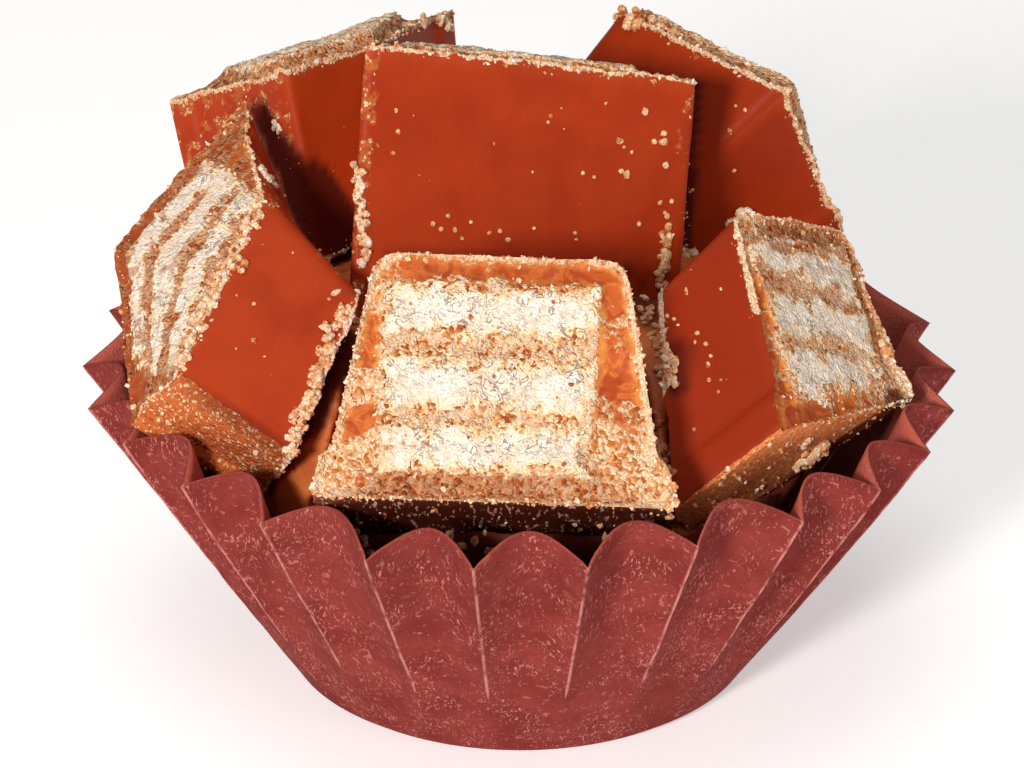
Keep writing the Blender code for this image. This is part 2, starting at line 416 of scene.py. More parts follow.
chocolateLook = {
    "skin": (0.43, 0.042, 0.006),
    "skinDeep": (0.36, 0.03, 0.004),
    "skinShaded": (0.235, 0.017, 0.002),
    "cut": (0.56, 0.115, 0.024),
    "cutDark": (0.4, 0.06, 0.013),
    "halo": (0.86, 0.36, 0.08),
    "granuleDark": (0.3, 0.055, 0.015),
    "crust": (0.2, 0.035, 0.012),
    "granuleMid": (0.6, 0.19, 0.055),
    "granuleTan": (0.79, 0.4, 0.17),
    "granulePale": (0.92, 0.68, 0.44),
    "dustBase": (0.48, 0.1, 0.026),
    "dustLit": (1.0, 0.29, 0.085),
    # painted shade: the near-black underside, and the pale streaks of crumb on it
    "base": (0.085, 0.018, 0.009),
    "streak": (0.86, 0.52, 0.42),
    "shadow": (0.1, 0.008, 0.003),
    "granuleSize": 0.19,
    "gloss": 0.1,
    "roughness": (0.46, 0.9),       # smooth and granular
    "depth": 0.11,
    "rimStrays": 0.7,
    "streaks": (5.5, 0.8, 0.8),     # how close together the streaks of the foot are, each way
}


def makeChocolate(look):
    made, tree, shader, place = newMaterial("milkChocolate", 0.6, look["gloss"])
    # mm in from the rim of a broken end (negative on the skin), mm out from the layers, how granular and how
    # brown the broken end is, mm of pale crumb round it, mm by which that crumb reaches over the skin, and
    # how dark the painted shadow is there
    cutDepth, layerGap, grit, shade, rimWide, spill, paintedShadow = (surfaceValue(tree, name) for name in (
        "cutDepth", "layerGap", "grit", "shade", "rimWide", "spill", "paintedShadow"))
    grains = useGroup(grain, Vector=place, Size=look["granuleSize"])
    tones = useGroup(mottle, Vector=place, Broad=3.5, Fine=0.5)
    parts = useGroup(filling, Vector=place, Depth=0.0 - layerGap, Ragged=surfaceValue(tree, "ragged"),
                     Brown=surfaceValue(tree, "brown"))
    tone, line = grains["Tone"], grains["Line"]
    jitter = tone - 0.5
    ragged = noise(place, 1.5, 4.0, 0.3) - 0.5
    torn = cutDepth + ragged * look["rimStrays"] + jitter * 0.16
    broken = ramp(torn + spill, -0.05, 0.01)
    # the smooth broken chocolate, with lines of flow and a yellow halo towards its borders
    flow = noise(place, 0.7, 3.0, 2.2)
    streak = fade(calc("ABSOLUTE", flow - 0.56), 0.01, 0.05)
    border = larger(fade(layerGap + ragged * 1.8, 0.05, 0.55), fade(torn - rimWide, -0.05, 0.4))
    halo = larger(streak * 0.25, border * 0.7) * (1.0 - shade)
    cut = paint(look, "cutDark", (ramp(flow, 0.35, 0.62), "cut"), (halo, "halo"), (shade * 0.55, "crust"))
    # granules, from dark chocolate through tan to pale wafer dust
    light = tone + ramp(shade, 0.0, 1.0, 0.2, 0.0)
    dusted = ramp(light, 0.62, 0.85) * ramp(shade, 0.0, 1.0, 1.0, 0.55)
    gritty = paint(look, "granuleDark", (ramp(light, 0.1, 0.32), "granuleMid"),
                   (ramp(light, 0.35, 0.6), "granuleTan"), (dusted, "granulePale"), (shade * 0.8, "crust"),
                   (line * 0.45, "granuleMid"))
    pale = paint(look, "granuleTan", (ramp(tone + 0.4, 0.45, 0.75), "granulePale"),
                 (line * 0.3, "granuleMid"), (shade * 0.55, "granuleMid"))
    loose = ramp(grit + ragged * 0.9, 0.42, 0.58)
    rim = fade(torn - rimWide, -0.06, 0.02)
    seam = larger(fade(layerGap + jitter * 0.25, 0.02, 0.16), parts["Wafer"])
    cut = paint(look, cut, (loose, gritty), (rim, pale), (seam, parts["Color"]))
    # the skin, a little lighter beside the broken edge, with dust where the piece was handled, painted light on
    # that dust where it lies in shade, painted shade over whole pieces and painted shade on the front piece's
    # underside
    dusty = ramp(surfaceValue(tree, "dust") - noise(place, 1.3, 4.0), -0.08, 0.02)
    dots = ramp(tone, 0.6, 0.66) * ramp(grains["Height"], 0.3, 0.45)
    # painted light: the dust is made brighter on sides that lie in shade
    powder = paint(look, "dustBase", (surfaceValue(tree, "paintedLight"), "dustLit"),
                   (ramp(tone, 0.05, 0.3, 0.3, 0.0), "granuleDark"), (tones["Patches"] * 0.2, "granuleMid"),
                   (dots, paint(look, "granuleTan", (tones["Fleck"], "granulePale"))))
    # painted shade: near black on the front piece's underside, with pale streaks of crumb over it
    streaks = noise(mapped(place, look["streaks"]), 1.0, 2.0) + jitter * 0.05
    base = paint(look, "base", (ramp(streaks, 0.59, 0.65), "streak"))
    # painted shade: some whole pieces are darkened, as if in shade
    skin = paint(look, "skinDeep", (tones["Patches"], "skin"), (ramp(torn, -1.0, -0.1) * 0.25, "dustBase"),
                 (surfaceValue(tree, "darker"), "skinShaded"), (dusty, powder),
                 (surfaceValue(tree, "deep"), base))
    grainy = calc("MAXIMUM", broken * larger(rim, loose, seam), dusty * 0.8, True)
    height = grains["Height"] * grainy + noise(place, 1.1, 4.0) * 0.3
    # painted shadow: near black, and rougher so that it has no sheen, where shadow falls between the pieces
    fill(shader, {"Base Color": paint(look, skin, (broken, cut), (paintedShadow, "shadow")),
                  "Roughness": larger(ramp(grainy, 0.0, 1.0, *look["roughness"]), paintedShadow),
                  "Normal": bump(height, look["depth"])})
    return made


fudgeLook = {
    "light": (0.78, 0.215, 0.055),
    "dark": (0.48, 0.105, 0.027),
    "shadow": (0.1, 0.008, 0.003),
    "gloss": 0.35,
    "roughness": (0.35, 0.6),
    "depth": 0.12,
}


def makeFudge(look):
    made, tree, shader, place = newMaterial("cookedFudge", 0.4, look["gloss"])
    tones = useGroup(mottle, Vector=place, Broad=3.0, Fine=0.5)
    paintedShadow = surfaceValue(tree, "paintedShadow")
    # painted shadow: near black, and rougher, where shadow falls under and between the pieces
    fill(shader, {"Base Color": paint(look, "dark", (tones["Patches"], "light"), (paintedShadow, "shadow")),
                  "Roughness": larger(ramp(tones["Fleck"], 0.0, 1.0, *look["roughness"]), paintedShadow),
                  "Normal": bump(noise(place, 1.4, 4.0), look["depth"])})
    return made


crumbLook = {
    "brown": (0.42, 0.1, 0.028),
    "tan": (0.72, 0.33, 0.12),
    "pale": (0.9, 0.64, 0.39),
    "white": (0.95, 0.84, 0.7),
    "granuleSize": 0.24,
    "gloss": 0.15,
    "depth": 0.03,
}


def makeCrumb(look):
    made, tree, shader, place = newMaterial("looseCrumb", 0.85, look["gloss"])
    grains = useGroup(grain, Vector=place, Size=look["granuleSize"])
    tint = surfaceValue(tree, "tint") + (grains["Tone"] - 0.5) * 0.5
    colour = paint(look, "brown", (ramp(tint, 0.05, 0.3), "tan"), (ramp(tint, 0.3, 0.62), "pale"),
                   (ramp(tint, 0.65, 0.95), "white"), (grains["Line"] * 0.35, "brown"))
    fill(shader, {"Base Color": colour, "Normal": bump(noise(place, 14.0, 2.0), look["depth"])})
    return made


paperLook = {
    "paper": (0.25, 0.039, 0.033),
    "deep": (0.18, 0.023, 0.019),
    "inner": (0.56, 0.125, 0.085),
    "unlit": (0.03, 0.004, 0.003),
    "fibre": (0.56, 0.165, 0.135),
    "crease": (0.64, 0.26, 0.22),
    "unlitHeights": (10.5, 14.5),       # mm up inside the case
    "fibreLong": 0.9,
    "fibreWide": 0.13,
    "fibreTurns": ((0.3, 0.2, 0.4), (1.2, 0.5, 2.0), (-0.5, 0.9, 1.2), (0.8, -0.6, -0.7)),
    "creaseWidth": 0.1,
    "gloss": 0.08,
    "depth": 0.05,
}


def makePaper(look):
    made, tree, shader, place = newMaterial("casePaper", 0.9, look["gloss"])
    tones = useGroup(mottle, Vector=place, Broad=2.2, Fine=0.35)
    wide, long = 1.0 / look["fibreWide"], 1.0 / look["fibreLong"]
    strands = larger(*(ramp(noise(mapped(place, (wide, wide, long), turn), 1.0, 1.0, 0.4), 0.64, 0.71)
                       for turn in look["fibreTurns"]))
    fleck = ramp(noise(place, 2.6, 3.0, 1.5), 0.6, 0.66)
    fibres = larger(strands * ramp(noise(place, 0.5, 3.0), 0.42, 0.62), fleck * 0.6)
    inside = surfaceValue(tree, "inside")
    ridge = surfaceValue(tree, "ridge")             # mm to the nearest crease
    unlit = inside * ramp(axes(place)[2], *look["unlitHeights"], 0.9, 0.0)
    creaseLine = fade(ridge, look["creaseWidth"] * 0.4, look["creaseWidth"]) * ramp(noise(place, 1.2, 2.0), 0.3, 0.6)
    colour = paint(look, "deep", (tones["Patches"], "paper"), (tones["Fleck"] * 0.5, "deep"),
                   (inside * 0.8, "inner"), (fibres, "fibre"), (unlit, "unlit"), (creaseLine * 0.7, "crease"))
    height = fibres + noise(place, 4.0, 4.0) * 0.8
    fill(shader, {"Base Color": colour, "Normal": bump(height, look["depth"])})
    return made


bakedWafer = makeFilling("bakedWafer", 1.0)
cocoaCream = makeFilling("cocoaCream", -1.0)
chocolate = makeChocolate(chocolateLook)
cookedFudge = makeFudge(fudgeLook)
looseCrumb = makeCrumb(crumbLook)
casePaper = makePaper(paperLook)
print("finishes made")


# The paper case. One ridge per flute: degrees from the front towards +X, radius, height of its tip
ridgeTips = (
    (-174.0, 21.3, 13.9), (-158.0, 21.5, 13.7), (-143.0, 21.6, 14.0), (-128.5, 22.1, 13.8),
    (-114.0, 22.5, 13.9), (-99.5, 21.7, 13.4), (-83.5, 20.7, 13.9), (-68.5, 19.9, 14.4),
    (-52.0, 19.6, 14.5), (-36.5, 19.6, 14.5), (-20.0, 20.1, 14.2), (-6.0, 20.0, 14.3),
    (8.5, 20.0, 14.3), (23.5, 19.7, 14.5), (39.5, 19.9, 14.4), (54.5, 20.2, 14.2),
    (68.5, 20.5, 14.1), (83.0, 20.8, 13.9), (97.0, 21.4, 13.6), (111.0, 21.9, 13.8),
    (126.0, 21.6, 14.6), (141.0, 21.6, 14.1), (156.0, 21.3, 14.0), (171.0, 21.4, 13.8),
)
caseShape = {
    "Steps": 16,              # faces across one flute
    "Rows": 40,               # faces from the middle of the base to the rim
    "Fold Depth": 1.9 * mm,
    "Fold Rise": 1.0 * mm,
    "Fold Fade": 1.6,         # power with which the folds die out towards the base
    "Wall Bow": 0.08,         # how much the wall bellies out
    "Foot Radius": 11.35 * mm,
    "Foot Height": 0.5 * mm,
    "Flat Radius": 10.65 * mm,
    "Base Share": 0.2,        # share of the rows that the base takes
    "Crinkle": 0.1 * mm,
    "Crinkle Size": 2.2 * mm,
}
casePaperThick = 0.16
caseSharp = 32.0              # degrees from which a crease is sharp


def makeCaseTree():
    # a pleated wall and base from a ring of ridge tips, one point for each flute
    tree, start, end = newGeometryTree("paperCase", caseShape)
    ring, baseShare = start["Geometry"], start["Base Share"]
    nudge = 1e-4                                    # keeps whole turns and the wall's foot on the right side
    flutes = out(tree, "GeometryNodeAttributeDomainSize", {"Geometry": ring}, "Point Count")
    sheet = out(tree, "GeometryNodeMeshGrid", {
        "Size X": flutes, "Size Y": 1.0, "Vertices X": flutes * start["Steps"] + 1.0,
        "Vertices Y": start["Rows"] + 1.0})
    across, level, _ = axes(position(tree))
    turn = across + flutes / 2.0 + nudge
    first = calc("FLOOR", turn)
    share = larger(turn - first - nudge, 0.0)

    def tipAt(index):
        sockets = {"Geometry": ring, "Index": calc("FLOORED_MODULO", index, flutes),
                   "Value": position(tree)}
        return out(tree, "GeometryNodeSampleIndex", sockets, data_type="FLOAT_VECTOR")

    def flat(vector):
        return out(tree, "ShaderNodeCombineXYZ", dict(enumerate(axes(vector)[:2])))

    def between(low, high, part):
        return low * (1.0 - part) + high * part

    tip, nextTip = tipAt(first), tipAt(first + 1.0)
    edge = out(tree, "ShaderNodeMix", {0: share, 4: tip, 5: nextTip}, 1, data_type="VECTOR")
    heading = out(tree, "ShaderNodeVectorMath", {0: flat(edge)}, operation="NORMALIZE")
    inward = calc("SINE", share * math.pi)          # 0 on a ridge, 1 on the round inner fold
    rimHeight = axes(edge)[2] + inward * start["Fold Rise"]
    up = level + 0.5
    wall = (up - baseShare) / (1.0 - baseShare)
    wallUp = larger(wall, 0.0)
    bow = wallUp * (1.0 - wallUp) * start["Wall Bow"]
    fold = calc("POWER", wallUp, start["Fold Fade"]) * start["Fold Depth"]
    rimRadius = between(lengthOf(flat(tip)), lengthOf(flat(nextTip)), share)
    wallRadius = between(start["Foot Radius"], rimRadius, wallUp + bow)
    isWall = calc("GREATER_THAN", wall, -nudge)
    onBase = calc("DIVIDE", up, baseShare, True)
    onBase = calc("DIVIDE", onBase, 0.875, True)    # the outer eighth of the base joins it to the wall
    radius = between(start["Flat Radius"] * onBase, wallRadius - inward * fold, isWall)
    height = between(start["Foot Height"], rimHeight, wallUp) * isWall
    raised = out(tree, "ShaderNodeCombineXYZ", {2: height})
    place = vectorMath("ADD", vectorMath("SCALE", heading, radius), raised)
    # how far the nearest crease is, in mm, for the lighter line along it
    span = radius * (2.0 * math.pi / mm) * (1.0 / flutes)
    away = calc("MINIMUM", share, 1.0 - share) * span + ramp(wall, 0.35, 0.0)
    sheet = moved(tree, storeValue(tree, sheet, "ridge", away), Position=place)
    sheet = out(tree, "GeometryNodeMergeByDistance", {"Geometry": sheet, "Distance": 0.002 * mm})
    risen = ramp(axes(position(tree))[2], 0.8 * mm, 3.0 * mm)
    uneven = wave(start["Crinkle Size"], 2.0) * risen * start["Crinkle"]
    finishTree(start, end, moved(tree, sheet, Offset=alongNormal(tree, uneven)))
    return tree


def makeCase():
    points = []
    for degrees, radius, height in ridgeTips:
        angle = math.radians(degrees)
        points.append((radius * math.sin(angle), -radius * math.cos(angle), height))
    case = newMesh("paperCase", points, [])
    grow(case, makeCaseTree(), casePaper, caseShape)

    def faceDown(work):
        if min(work.faces, key=lambda face: face.calc_center_median().z).normal.z > 0.0:
            bmesh.ops.reverse_faces(work, faces=work.faces)

    reworked(case.data, faceDown)
    case.data.shade_smooth()
    case.data.set_sharp_from_angle(angle=math.radians(caseSharp))
    wall = case.modifiers.new("paper", "SOLIDIFY")
    wall.thickness = casePaperThick * mm
    wall.offset = -1.0
    settle(case)
    count = len(case.data.vertices)
    addValue(case.data, "inside", np.arange(count) >= count // 2)
    keep(case, casePaper, "paper_case", "paper_case")
    print("paper case:", len(case.data.polygons), "faces")


makeCase()


# The broken pieces of wafer finger. Corners: the wide flat side, then the narrow side, each time left
# of the near end, right of the near end, right of the far end, left of the far end. blockSides: where
# the layers begin and end across, at the foot and at the top. lowered: mm by which the upper wafer ends
# below the block's top. tilt: how much higher its layers' borders are at the right than halfway. end:
# the near (0) or far (1) end that stands out, its shape and by how much. dust says how much crumb lies
# on each side, and lift how much painted light brightens that crumb. darker is painted shade over the
# whole piece and deep painted shade on its wide flat side; each of hollows is a painted shadow: its two
# ends, its reach in mm and how dark it is. Each row of broken is one spot of the chocolate round a
# broken end: across, up, how granular it is, how brown it is, the mm of pale crumb along its rim and
# the mm by which that crumb reaches over the skin.
pieces = {
    "front": {
        "corners": (
            (-9.18, -9.5, 10.86), (6.3, -9.51, 10.24), (6.53, -17.24, 16.1), (-8.96, -17.21, 16.7),
            (-6.67, -2.7, 19.73), (4.52, -2.71, 19.28), (4.74, -10.13, 24.9), (-6.45, -10.11, 25.34)),
        "blockSides": ((-0.66, 0.51), (-0.89, 0.76)), "lowered": 0.2,
        "dust": {"foot": 0.3, "top": 0.12, "left": 0.25, "right": 0.25}, "deep": 0.9,
        "broken": ((-0.6, 1.0, 0.05, 0.45, 0.2, 0.08), (-0.1, 1.0, 0.3, 0.3, 0.24, 0.08),
                   (0.4, 1.0, 0.15, 0.4, 0.24, 0.08), (1.0, 0.95, 0.2, 0.15, 0.36, 0.08),
                   (1.0, 0.75, 0.45, 0.0, 0.3, 0.08), (1.0, 0.52, 0.05, 0.05, 0.3, 0.08),
                   (1.0, 0.34, 0.55, 0.2, 0.3, 0.08), (1.0, 0.15, 0.95, 0.0, 0.6, 0.08),
                   (0.6, 0.0, 0.85, 0.5, 0.2, 0.08), (0.0, 0.0, 0.75, 0.65, 0.12, 0.04),
                   (-0.6, 0.0, 0.75, 0.65, 0.12, 0.04), (-1.0, 0.12, 0.9, 0.0, 0.55, 0.08),
                   (-1.0, 0.28, 0.2, 0.2, 0.3, 0.08), (-1.0, 0.42, 0.75, 0.0, 0.3, 0.08),
                   (-1.0, 0.65, 0.15, 0.1, 0.24, 0.08), (-1.0, 0.9, 0.6, 0.0, 0.4, 0.08)),
    },
    "centre": {
        "corners": (
            (-7.88, -1.68, 18.12), (7.21, 0.01, 16.3), (8.1, 4.49, 28.03), (-6.95, 2.98, 30.33),
            (-7.56, 5.18, 15.46), (4.8, 6.59, 13.97), (5.71, 11.11, 25.82), (-6.63, 9.84, 27.66)),
        "end": (1, "pillow", (0.03, 0.1, 0.28)),
        "dust": {"foot": 0.06, "top": 0.15, "left": 0.4, "right": 0.3}, "darker": 0.3,
        "paintedShadows": (((-6.4, -0.4, 21.0), (4.6, 0.95, 20.15), 0.1, 0.9),
                    ((4.6, 0.95, 20.15), (5.9, 0.85, 18.9), 0.1, 0.9)),
        "broken": ((-0.5, 0.0, 0.9, 0.45, 0.4, 0.12), (0.5, 0.0, 0.9, 0.25, 0.5, 0.12),
                   (0.0, 1.0, 0.9, 0.5, 0.3, 0.12)),
    },
    "left": {
        "corners": (
            (-18.05, -6.6, 15.37), (-13.42, 6.5, 25.99), (-9.4, 1.9, 17.2), (-12.11, -8.0, 12.09),
            (-15.99, -8.0, 18.29), (-12.16, 0.0, 23.67), (-7.29, -4.6, 21.01), (-10.34, -12.0, 15.91)),
        "end": (0, "ridge", (-3.6, 1.2, 0.1)),
        "dust": {"foot": 0.3, "top": 0.06, "left": 0.85, "right": 0.35}, "paintedLight": {"left": 0.1},
        "ragged": 1.4, "brown": (0.8, 0.5), "lowered": 0.4,
        "paintedShadows": (((-16.0, -7.2, 18.0), (-10.4, -11.9, 16.0), 0.45, 0.55),
                    ((-16.14, -7.32, 18.1), (-13.66, -1.78, 22.03), 0.12, 0.65)),
        "broken": ((0.0, 0.0, 0.45, 0.9, -0.04, 0.0), (-0.6, 0.0, 0.5, 0.9, -0.04, 0.0),
                   (0.6, 0.0, 0.55, 0.8, 0.0, 0.05), (0.0, 1.0, 0.6, 0.0, 1.0, 0.3),
                   (-0.7, 1.0, 0.6, 0.0, 1.0, 0.3), (0.7, 1.0, 0.6, 0.1, 0.8, 0.3),
                   (-1.0, 0.5, 0.65, 0.75, 0.15, 0.1), (1.0, 0.4, 0.5, 0.55, 0.25, 0.15)),
    },
    "right": {
        "corners": (
            (6.97, -13.5, 13.98), (8.01, -8.6, 9.99), (18.49, -3.6, 15.0), (11.93, -12.0, 17.41),
            (6.15, -7.0, 22.21), (11.56, -1.18, 18.84), (15.47, 2.0, 21.34), (9.9, -4.0, 24.82)),
        "dust": {"foot": 0.95, "top": 0.2, "left": 0.05, "right": 0.3}, "paintedLight": {"foot": 1.0},
        "darker": 0.75, "ragged": 1.8, "brown": (0.05, 0.75), "lowered": 0.55, "tilt": -0.075,
        "paintedShadows": (((17.4, -4.1, 14.5), (14.0, -5.7, 12.9), 1.4, 0.9),
                    ((7.3, -8.8, 20.0), (7.2, -9.8, 18.6), 0.55, 0.8)),
        "broken": ((-0.6, 0.0, 0.2, 0.3, 0.04, 0.0), (0.0, 0.0, 0.42, 0.35, 0.06, 0.0),
                   (0.45, 0.0, 0.5, 0.3, 0.12, 0.1), (0.95, 0.0, 0.85, 0.0, 0.7, 0.15),
                   (0.0, 1.0, 0.85, 0.85, 0.1, 0.12), (-1.0, 0.2, 0.45, 0.0, -0.6, -0.3),
                   (-1.0, 0.42, 0.4, 0.0, -0.6, -0.3), (-1.0, 0.62, 0.35, 0.0, 0.35, 0.4),
                   (-1.0, 0.9, 0.8, 0.15, 0.4, 0.45), (1.0, 0.6, 0.7, 0.7, 0.2, 0.12)),
    },
    "back_left": {
        "corners": (
            (-2.56, 17.6, 14.76), (-15.11, 9.9, 13.76), (-17.39, 13.4, 23.59), (-3.61, 20.2, 25.85),
            (-6.58, 7.7, 19.69), (-9.67, 5.52, 17.9), (-11.49, 8.0, 27.02), (-7.17, 11.2, 27.33)),
        "end": (1, "pillow", (-0.19, 0.22, 0.64)),
        "dust": {"foot": 0.15, "top": 0.05, "left": 0.2, "right": 0.42}, "darker": 0.15,
        "paintedShadows": (((-12.8, 9.0, 24.6), (-11.7, 8.1, 23.2), 0.7, 1.0),
                    ((-11.7, 7.9, 23.0), (-10.4, 6.9, 21.6), 1.0, 1.0),
                    ((-10.4, 6.8, 21.4), (-9.2, 6.5, 19.6), 1.5, 1.0)),
        "broken": ((0.0, 0.0, 0.9, 0.6, 0.3, 0.2), (0.0, 1.0, 0.9, 0.45, 0.45, 0.2)),
    },
    "back_right": {
        "corners": (
            (8.19, 10.2, 12.8), (1.69, 18.4, 17.18), (6.54, 21.2, 19.91), (16.24, 11.4, 17.32),
            (8.03, 7.4, 21.61), (1.83, 15.0, 23.46), (4.84, 15.8, 27.5), (12.88, 8.6, 25.85)),
        "end": (1, "pillow", (0.85, 0.72, 0.69)),
        "dust": {"foot": 0.15, "top": 0.05, "left": 0.05, "right": 0.25}, "darker": 0.55,
        "paintedShadows": (((8.6, 10.9, 25.3), (8.25, 7.64, 21.54), 0.45, 1.0),
                    ((8.25, 7.64, 21.54), (8.1, 8.8, 17.5), 0.45, 1.0)),
        "broken": ((0.0, 0.0, 0.9, 0.4, 0.4, 0.22), (0.0, 1.0, 0.9, 0.3, 0.5, 0.22)),
    },
}
finger = {
    "halfWidth": 6.7,         # mm for one unit across, halfway up
    "height": 11.25,
    # outline of the section: across, up, how far its corner is rounded
    "outline": ((-1.045, 0.0, 0.5), (1.045, 0.0, 0.5), (1.045, 0.16, 0.6), (0.985, 0.2, 0.5),
                (1.0, 1.0, 1.3), (-1.0, 1.0, 1.3), (-0.985, 0.2, 0.5), (-1.045, 0.16, 0.6)),
    "around": 480,            # points round the outline
    "cornerPoints": 9,
    "step": 0.6,              # mm between points along the finger
    "fineStep": 0.11,         # and near its ends
    "nearEnd": 0.9,
    "ringSteps": 14,
    "sharp": 62.0,            # degrees from which an edge is sharp
    "spotReach": 0.2,         # mm over which each spot of the rim keeps its own look
    "blockSides": ((-0.667, 0.667), (-0.854, 0.854)),     # left and right, at the foot and at the top
    "blockLow": 0.122,
    "layers": (("wafer_low", 0.18), ("cream_low", 0.07), ("wafer_middle", 0.2),
               ("cream_high", 0.1), ("wafer_high", 0.21)),
    "layerStep": 0.15,
    "layerStops": (0.0, 0.03, 0.35, 0.65, 0.97, 1.0),
}
finger["blockHigh"] = finger["blockLow"] + sum(thick for _, thick in finger["layers"])
sectionSize = np.array((finger["halfWidth"], finger["height"]))
hair = 1e-6               # less than any real length or share


def blockEdge(piece, side, up):
    # place across the wafers and creams at one height: side is -1 at their left edge, 1 at their right
    low, high = (np.array(edges) for edges in piece.get("blockSides", finger["blockSides"]))
    share = (np.asarray(up, float) - finger["blockLow"]) / (finger["blockHigh"] - finger["blockLow"])
    right = (np.asarray(side, float) + 1) / 2
    low, high = (edges[0] * (1 - right) + edges[1] * right for edges in (low, high))
    return low * (1 - share) + high * share


def layerBorder(piece, side, up):
    # height of a border between two layers, which slopes in some pieces; the block's foot and top stay level
    between = finger["blockLow"] + hair < up < finger["blockHigh"] - hair
    return up + side * piece.get("tilt", 0.0) if between else up


def inPiece(piece, across, along, up):
    # across -1..1, along 0..1 from the near to the far end, up 0..1 from the wide side
    corner = np.array(piece["corners"])
    a, s, w = ((np.asarray(v, float))[..., None] for v in (across, along, up))
    a = (a + 1.0) / 2.0
    low = (corner[0] * (1 - a) + corner[1] * a) * (1 - s) + (corner[3] * (1 - a) + corner[2] * a) * s
    high = (corner[4] * (1 - a) + corner[5] * a) * (1 - s) + (corner[7] * (1 - a) + corner[6] * a) * s
    point = low * (1 - w) + high * w
    if "end" in piece:
        end, shape, standsOut = piece["end"]
        inside, side = 1 - np.minimum(1, np.abs(2 * a - 1)), np.where(a < 0.5, -1.0, 1.0)
        if shape == "ridge":
            raised = inside * (1 - w)
        else:
            raised = np.minimum(inside / (1 - side * blockEdge(piece, side, w)), w / finger["blockLow"])
            raised = np.minimum(1, np.minimum(raised, (1 - w) / (1 - finger["blockHigh"])))
        point = point + np.array(standsOut) * np.maximum(raised, 0) * (s if end else 1 - s)
    return point


def lengthwise(piece):
    # the piece's length and the way that it runs
    ends = inPiece(piece, [0.0, 0.0], [0.0, 1.0], [0.5, 0.5])
    length = float(np.linalg.norm(ends[1] - ends[0]))
    return length, (ends[1] - ends[0]) / length


def roundOutline(corners, count):
    # each corner becomes a short curve, and the outline gets evenly spaced points
    spots = [np.array(corner[:2]) * sectionSize for corner in corners]
    points = []
    for index, here in enumerate(spots):
        before, after = spots[index - 1] - here, spots[(index + 1) % len(spots)] - here
        cut = [min(corners[index][2], 0.45 * np.linalg.norm(side)) for side in (before, after)]
        first = here + before / np.linalg.norm(before) * cut[0]
        last = here + after / np.linalg.norm(after) * cut[1]
        for t in np.linspace(0.0, 1.0, finger["cornerPoints"]):
            points.append(first * (1 - t) ** 2 + here * 2 * t * (1 - t) + last * t * t)
    loop = np.array(points + points[:1])
    run = np.concatenate([[0.0], np.cumsum(np.linalg.norm(np.diff(loop, axis=0), axis=1))])
    even = np.linspace(0.0, run[-1], count, endpoint=False)
    return np.stack([np.interp(even, run, loop[:, k]) for k in (0, 1)], axis=1)


def toBlock(outline, piece):
    # for each outline point, the point of the layers' block that faces it
    levels = finger["blockLow"], finger["blockHigh"]
    spots = [(side, levels[top]) for side, top in ((-1, 0), (1, 0), (1, 1), (-1, 1))]
    block = np.array([(blockEdge(piece, side, level), level) for side, level in spots]) * sectionSize
    middle = block.mean(axis=0)
    found = np.zeros_like(outline)
    for index, point in enumerate(outline):
        ray = point - middle
        best = np.inf
        for start, stop in zip(block, np.roll(block, -1, axis=0)):
            side = stop - start
            cross = ray[0] * side[1] - ray[1] * side[0]
            if abs(cross) < hair:
                continue
            gap = start - middle
            reach = (gap[0] * side[1] - gap[1] * side[0]) / cross
            slide = (gap[0] * ray[1] - gap[1] * ray[0]) / cross
            if reach > 0 and -hair <= slide <= 1 + hair:
                best = min(best, reach)
        found[index] = middle + ray * best
    return found


paintedShadowBorder = 0.35       # mm over which a painted shadow's darkness fades


def hollowAt(points, paintedShadows):
    # how dark each point is from the painted shadows of unlit places: their two ends, reach and amount, with
    # soft borders
    dark = np.zeros(len(points))
    for start, stop, reach, amount in paintedShadows:
        line = np.array(stop) - start
        share = np.clip((points - start) @ line / (line @ line), 0, 1)[:, None]
        away = np.linalg.norm(points - (start + share * line), axis=1)
        dark = np.maximum(dark, amount * np.clip((reach - away) / paintedShadowBorder + 0.5, 0, 1))
    return dark


def brownAt(piece, up):
    # how brown the filling is at one height: one figure, or one for the foot and one for the top
    low, high = np.broadcast_to(piece.get("brown", 0.0), 2)
    return low + (high - low) * np.clip(up, 0, 1)


# How thick crumbs lie. The reaches are in mm from the rim of a broken end and from the layers.
crumbCover = {
    "rimReach": 0.3, "skinReach": 0.14, "reachPerSpill": 0.7, "torn": 0.35,
    "seam": 0.35, "seamReach": 0.25, "dust": 0.1, "skin": 0.0025, "end": 0.02, "layer": 0.06,
}
# Stand-ins, in mm, where a point isn't on a broken end: its depth inside the piece and its gap to the layers
insideDepth, noGap = 2.0, 9.0


def tubeFaces(rows, around):
    # the faces of closed rows of points, where the last row runs on into the first
    faces = []
    for row in range(rows):
        here, beyond = row * around, (row + 1) % rows * around
        for i in range(around):
            j = (i + 1) % around
            faces.append((here + i, here + j, beyond + j, beyond + i))
    return faces


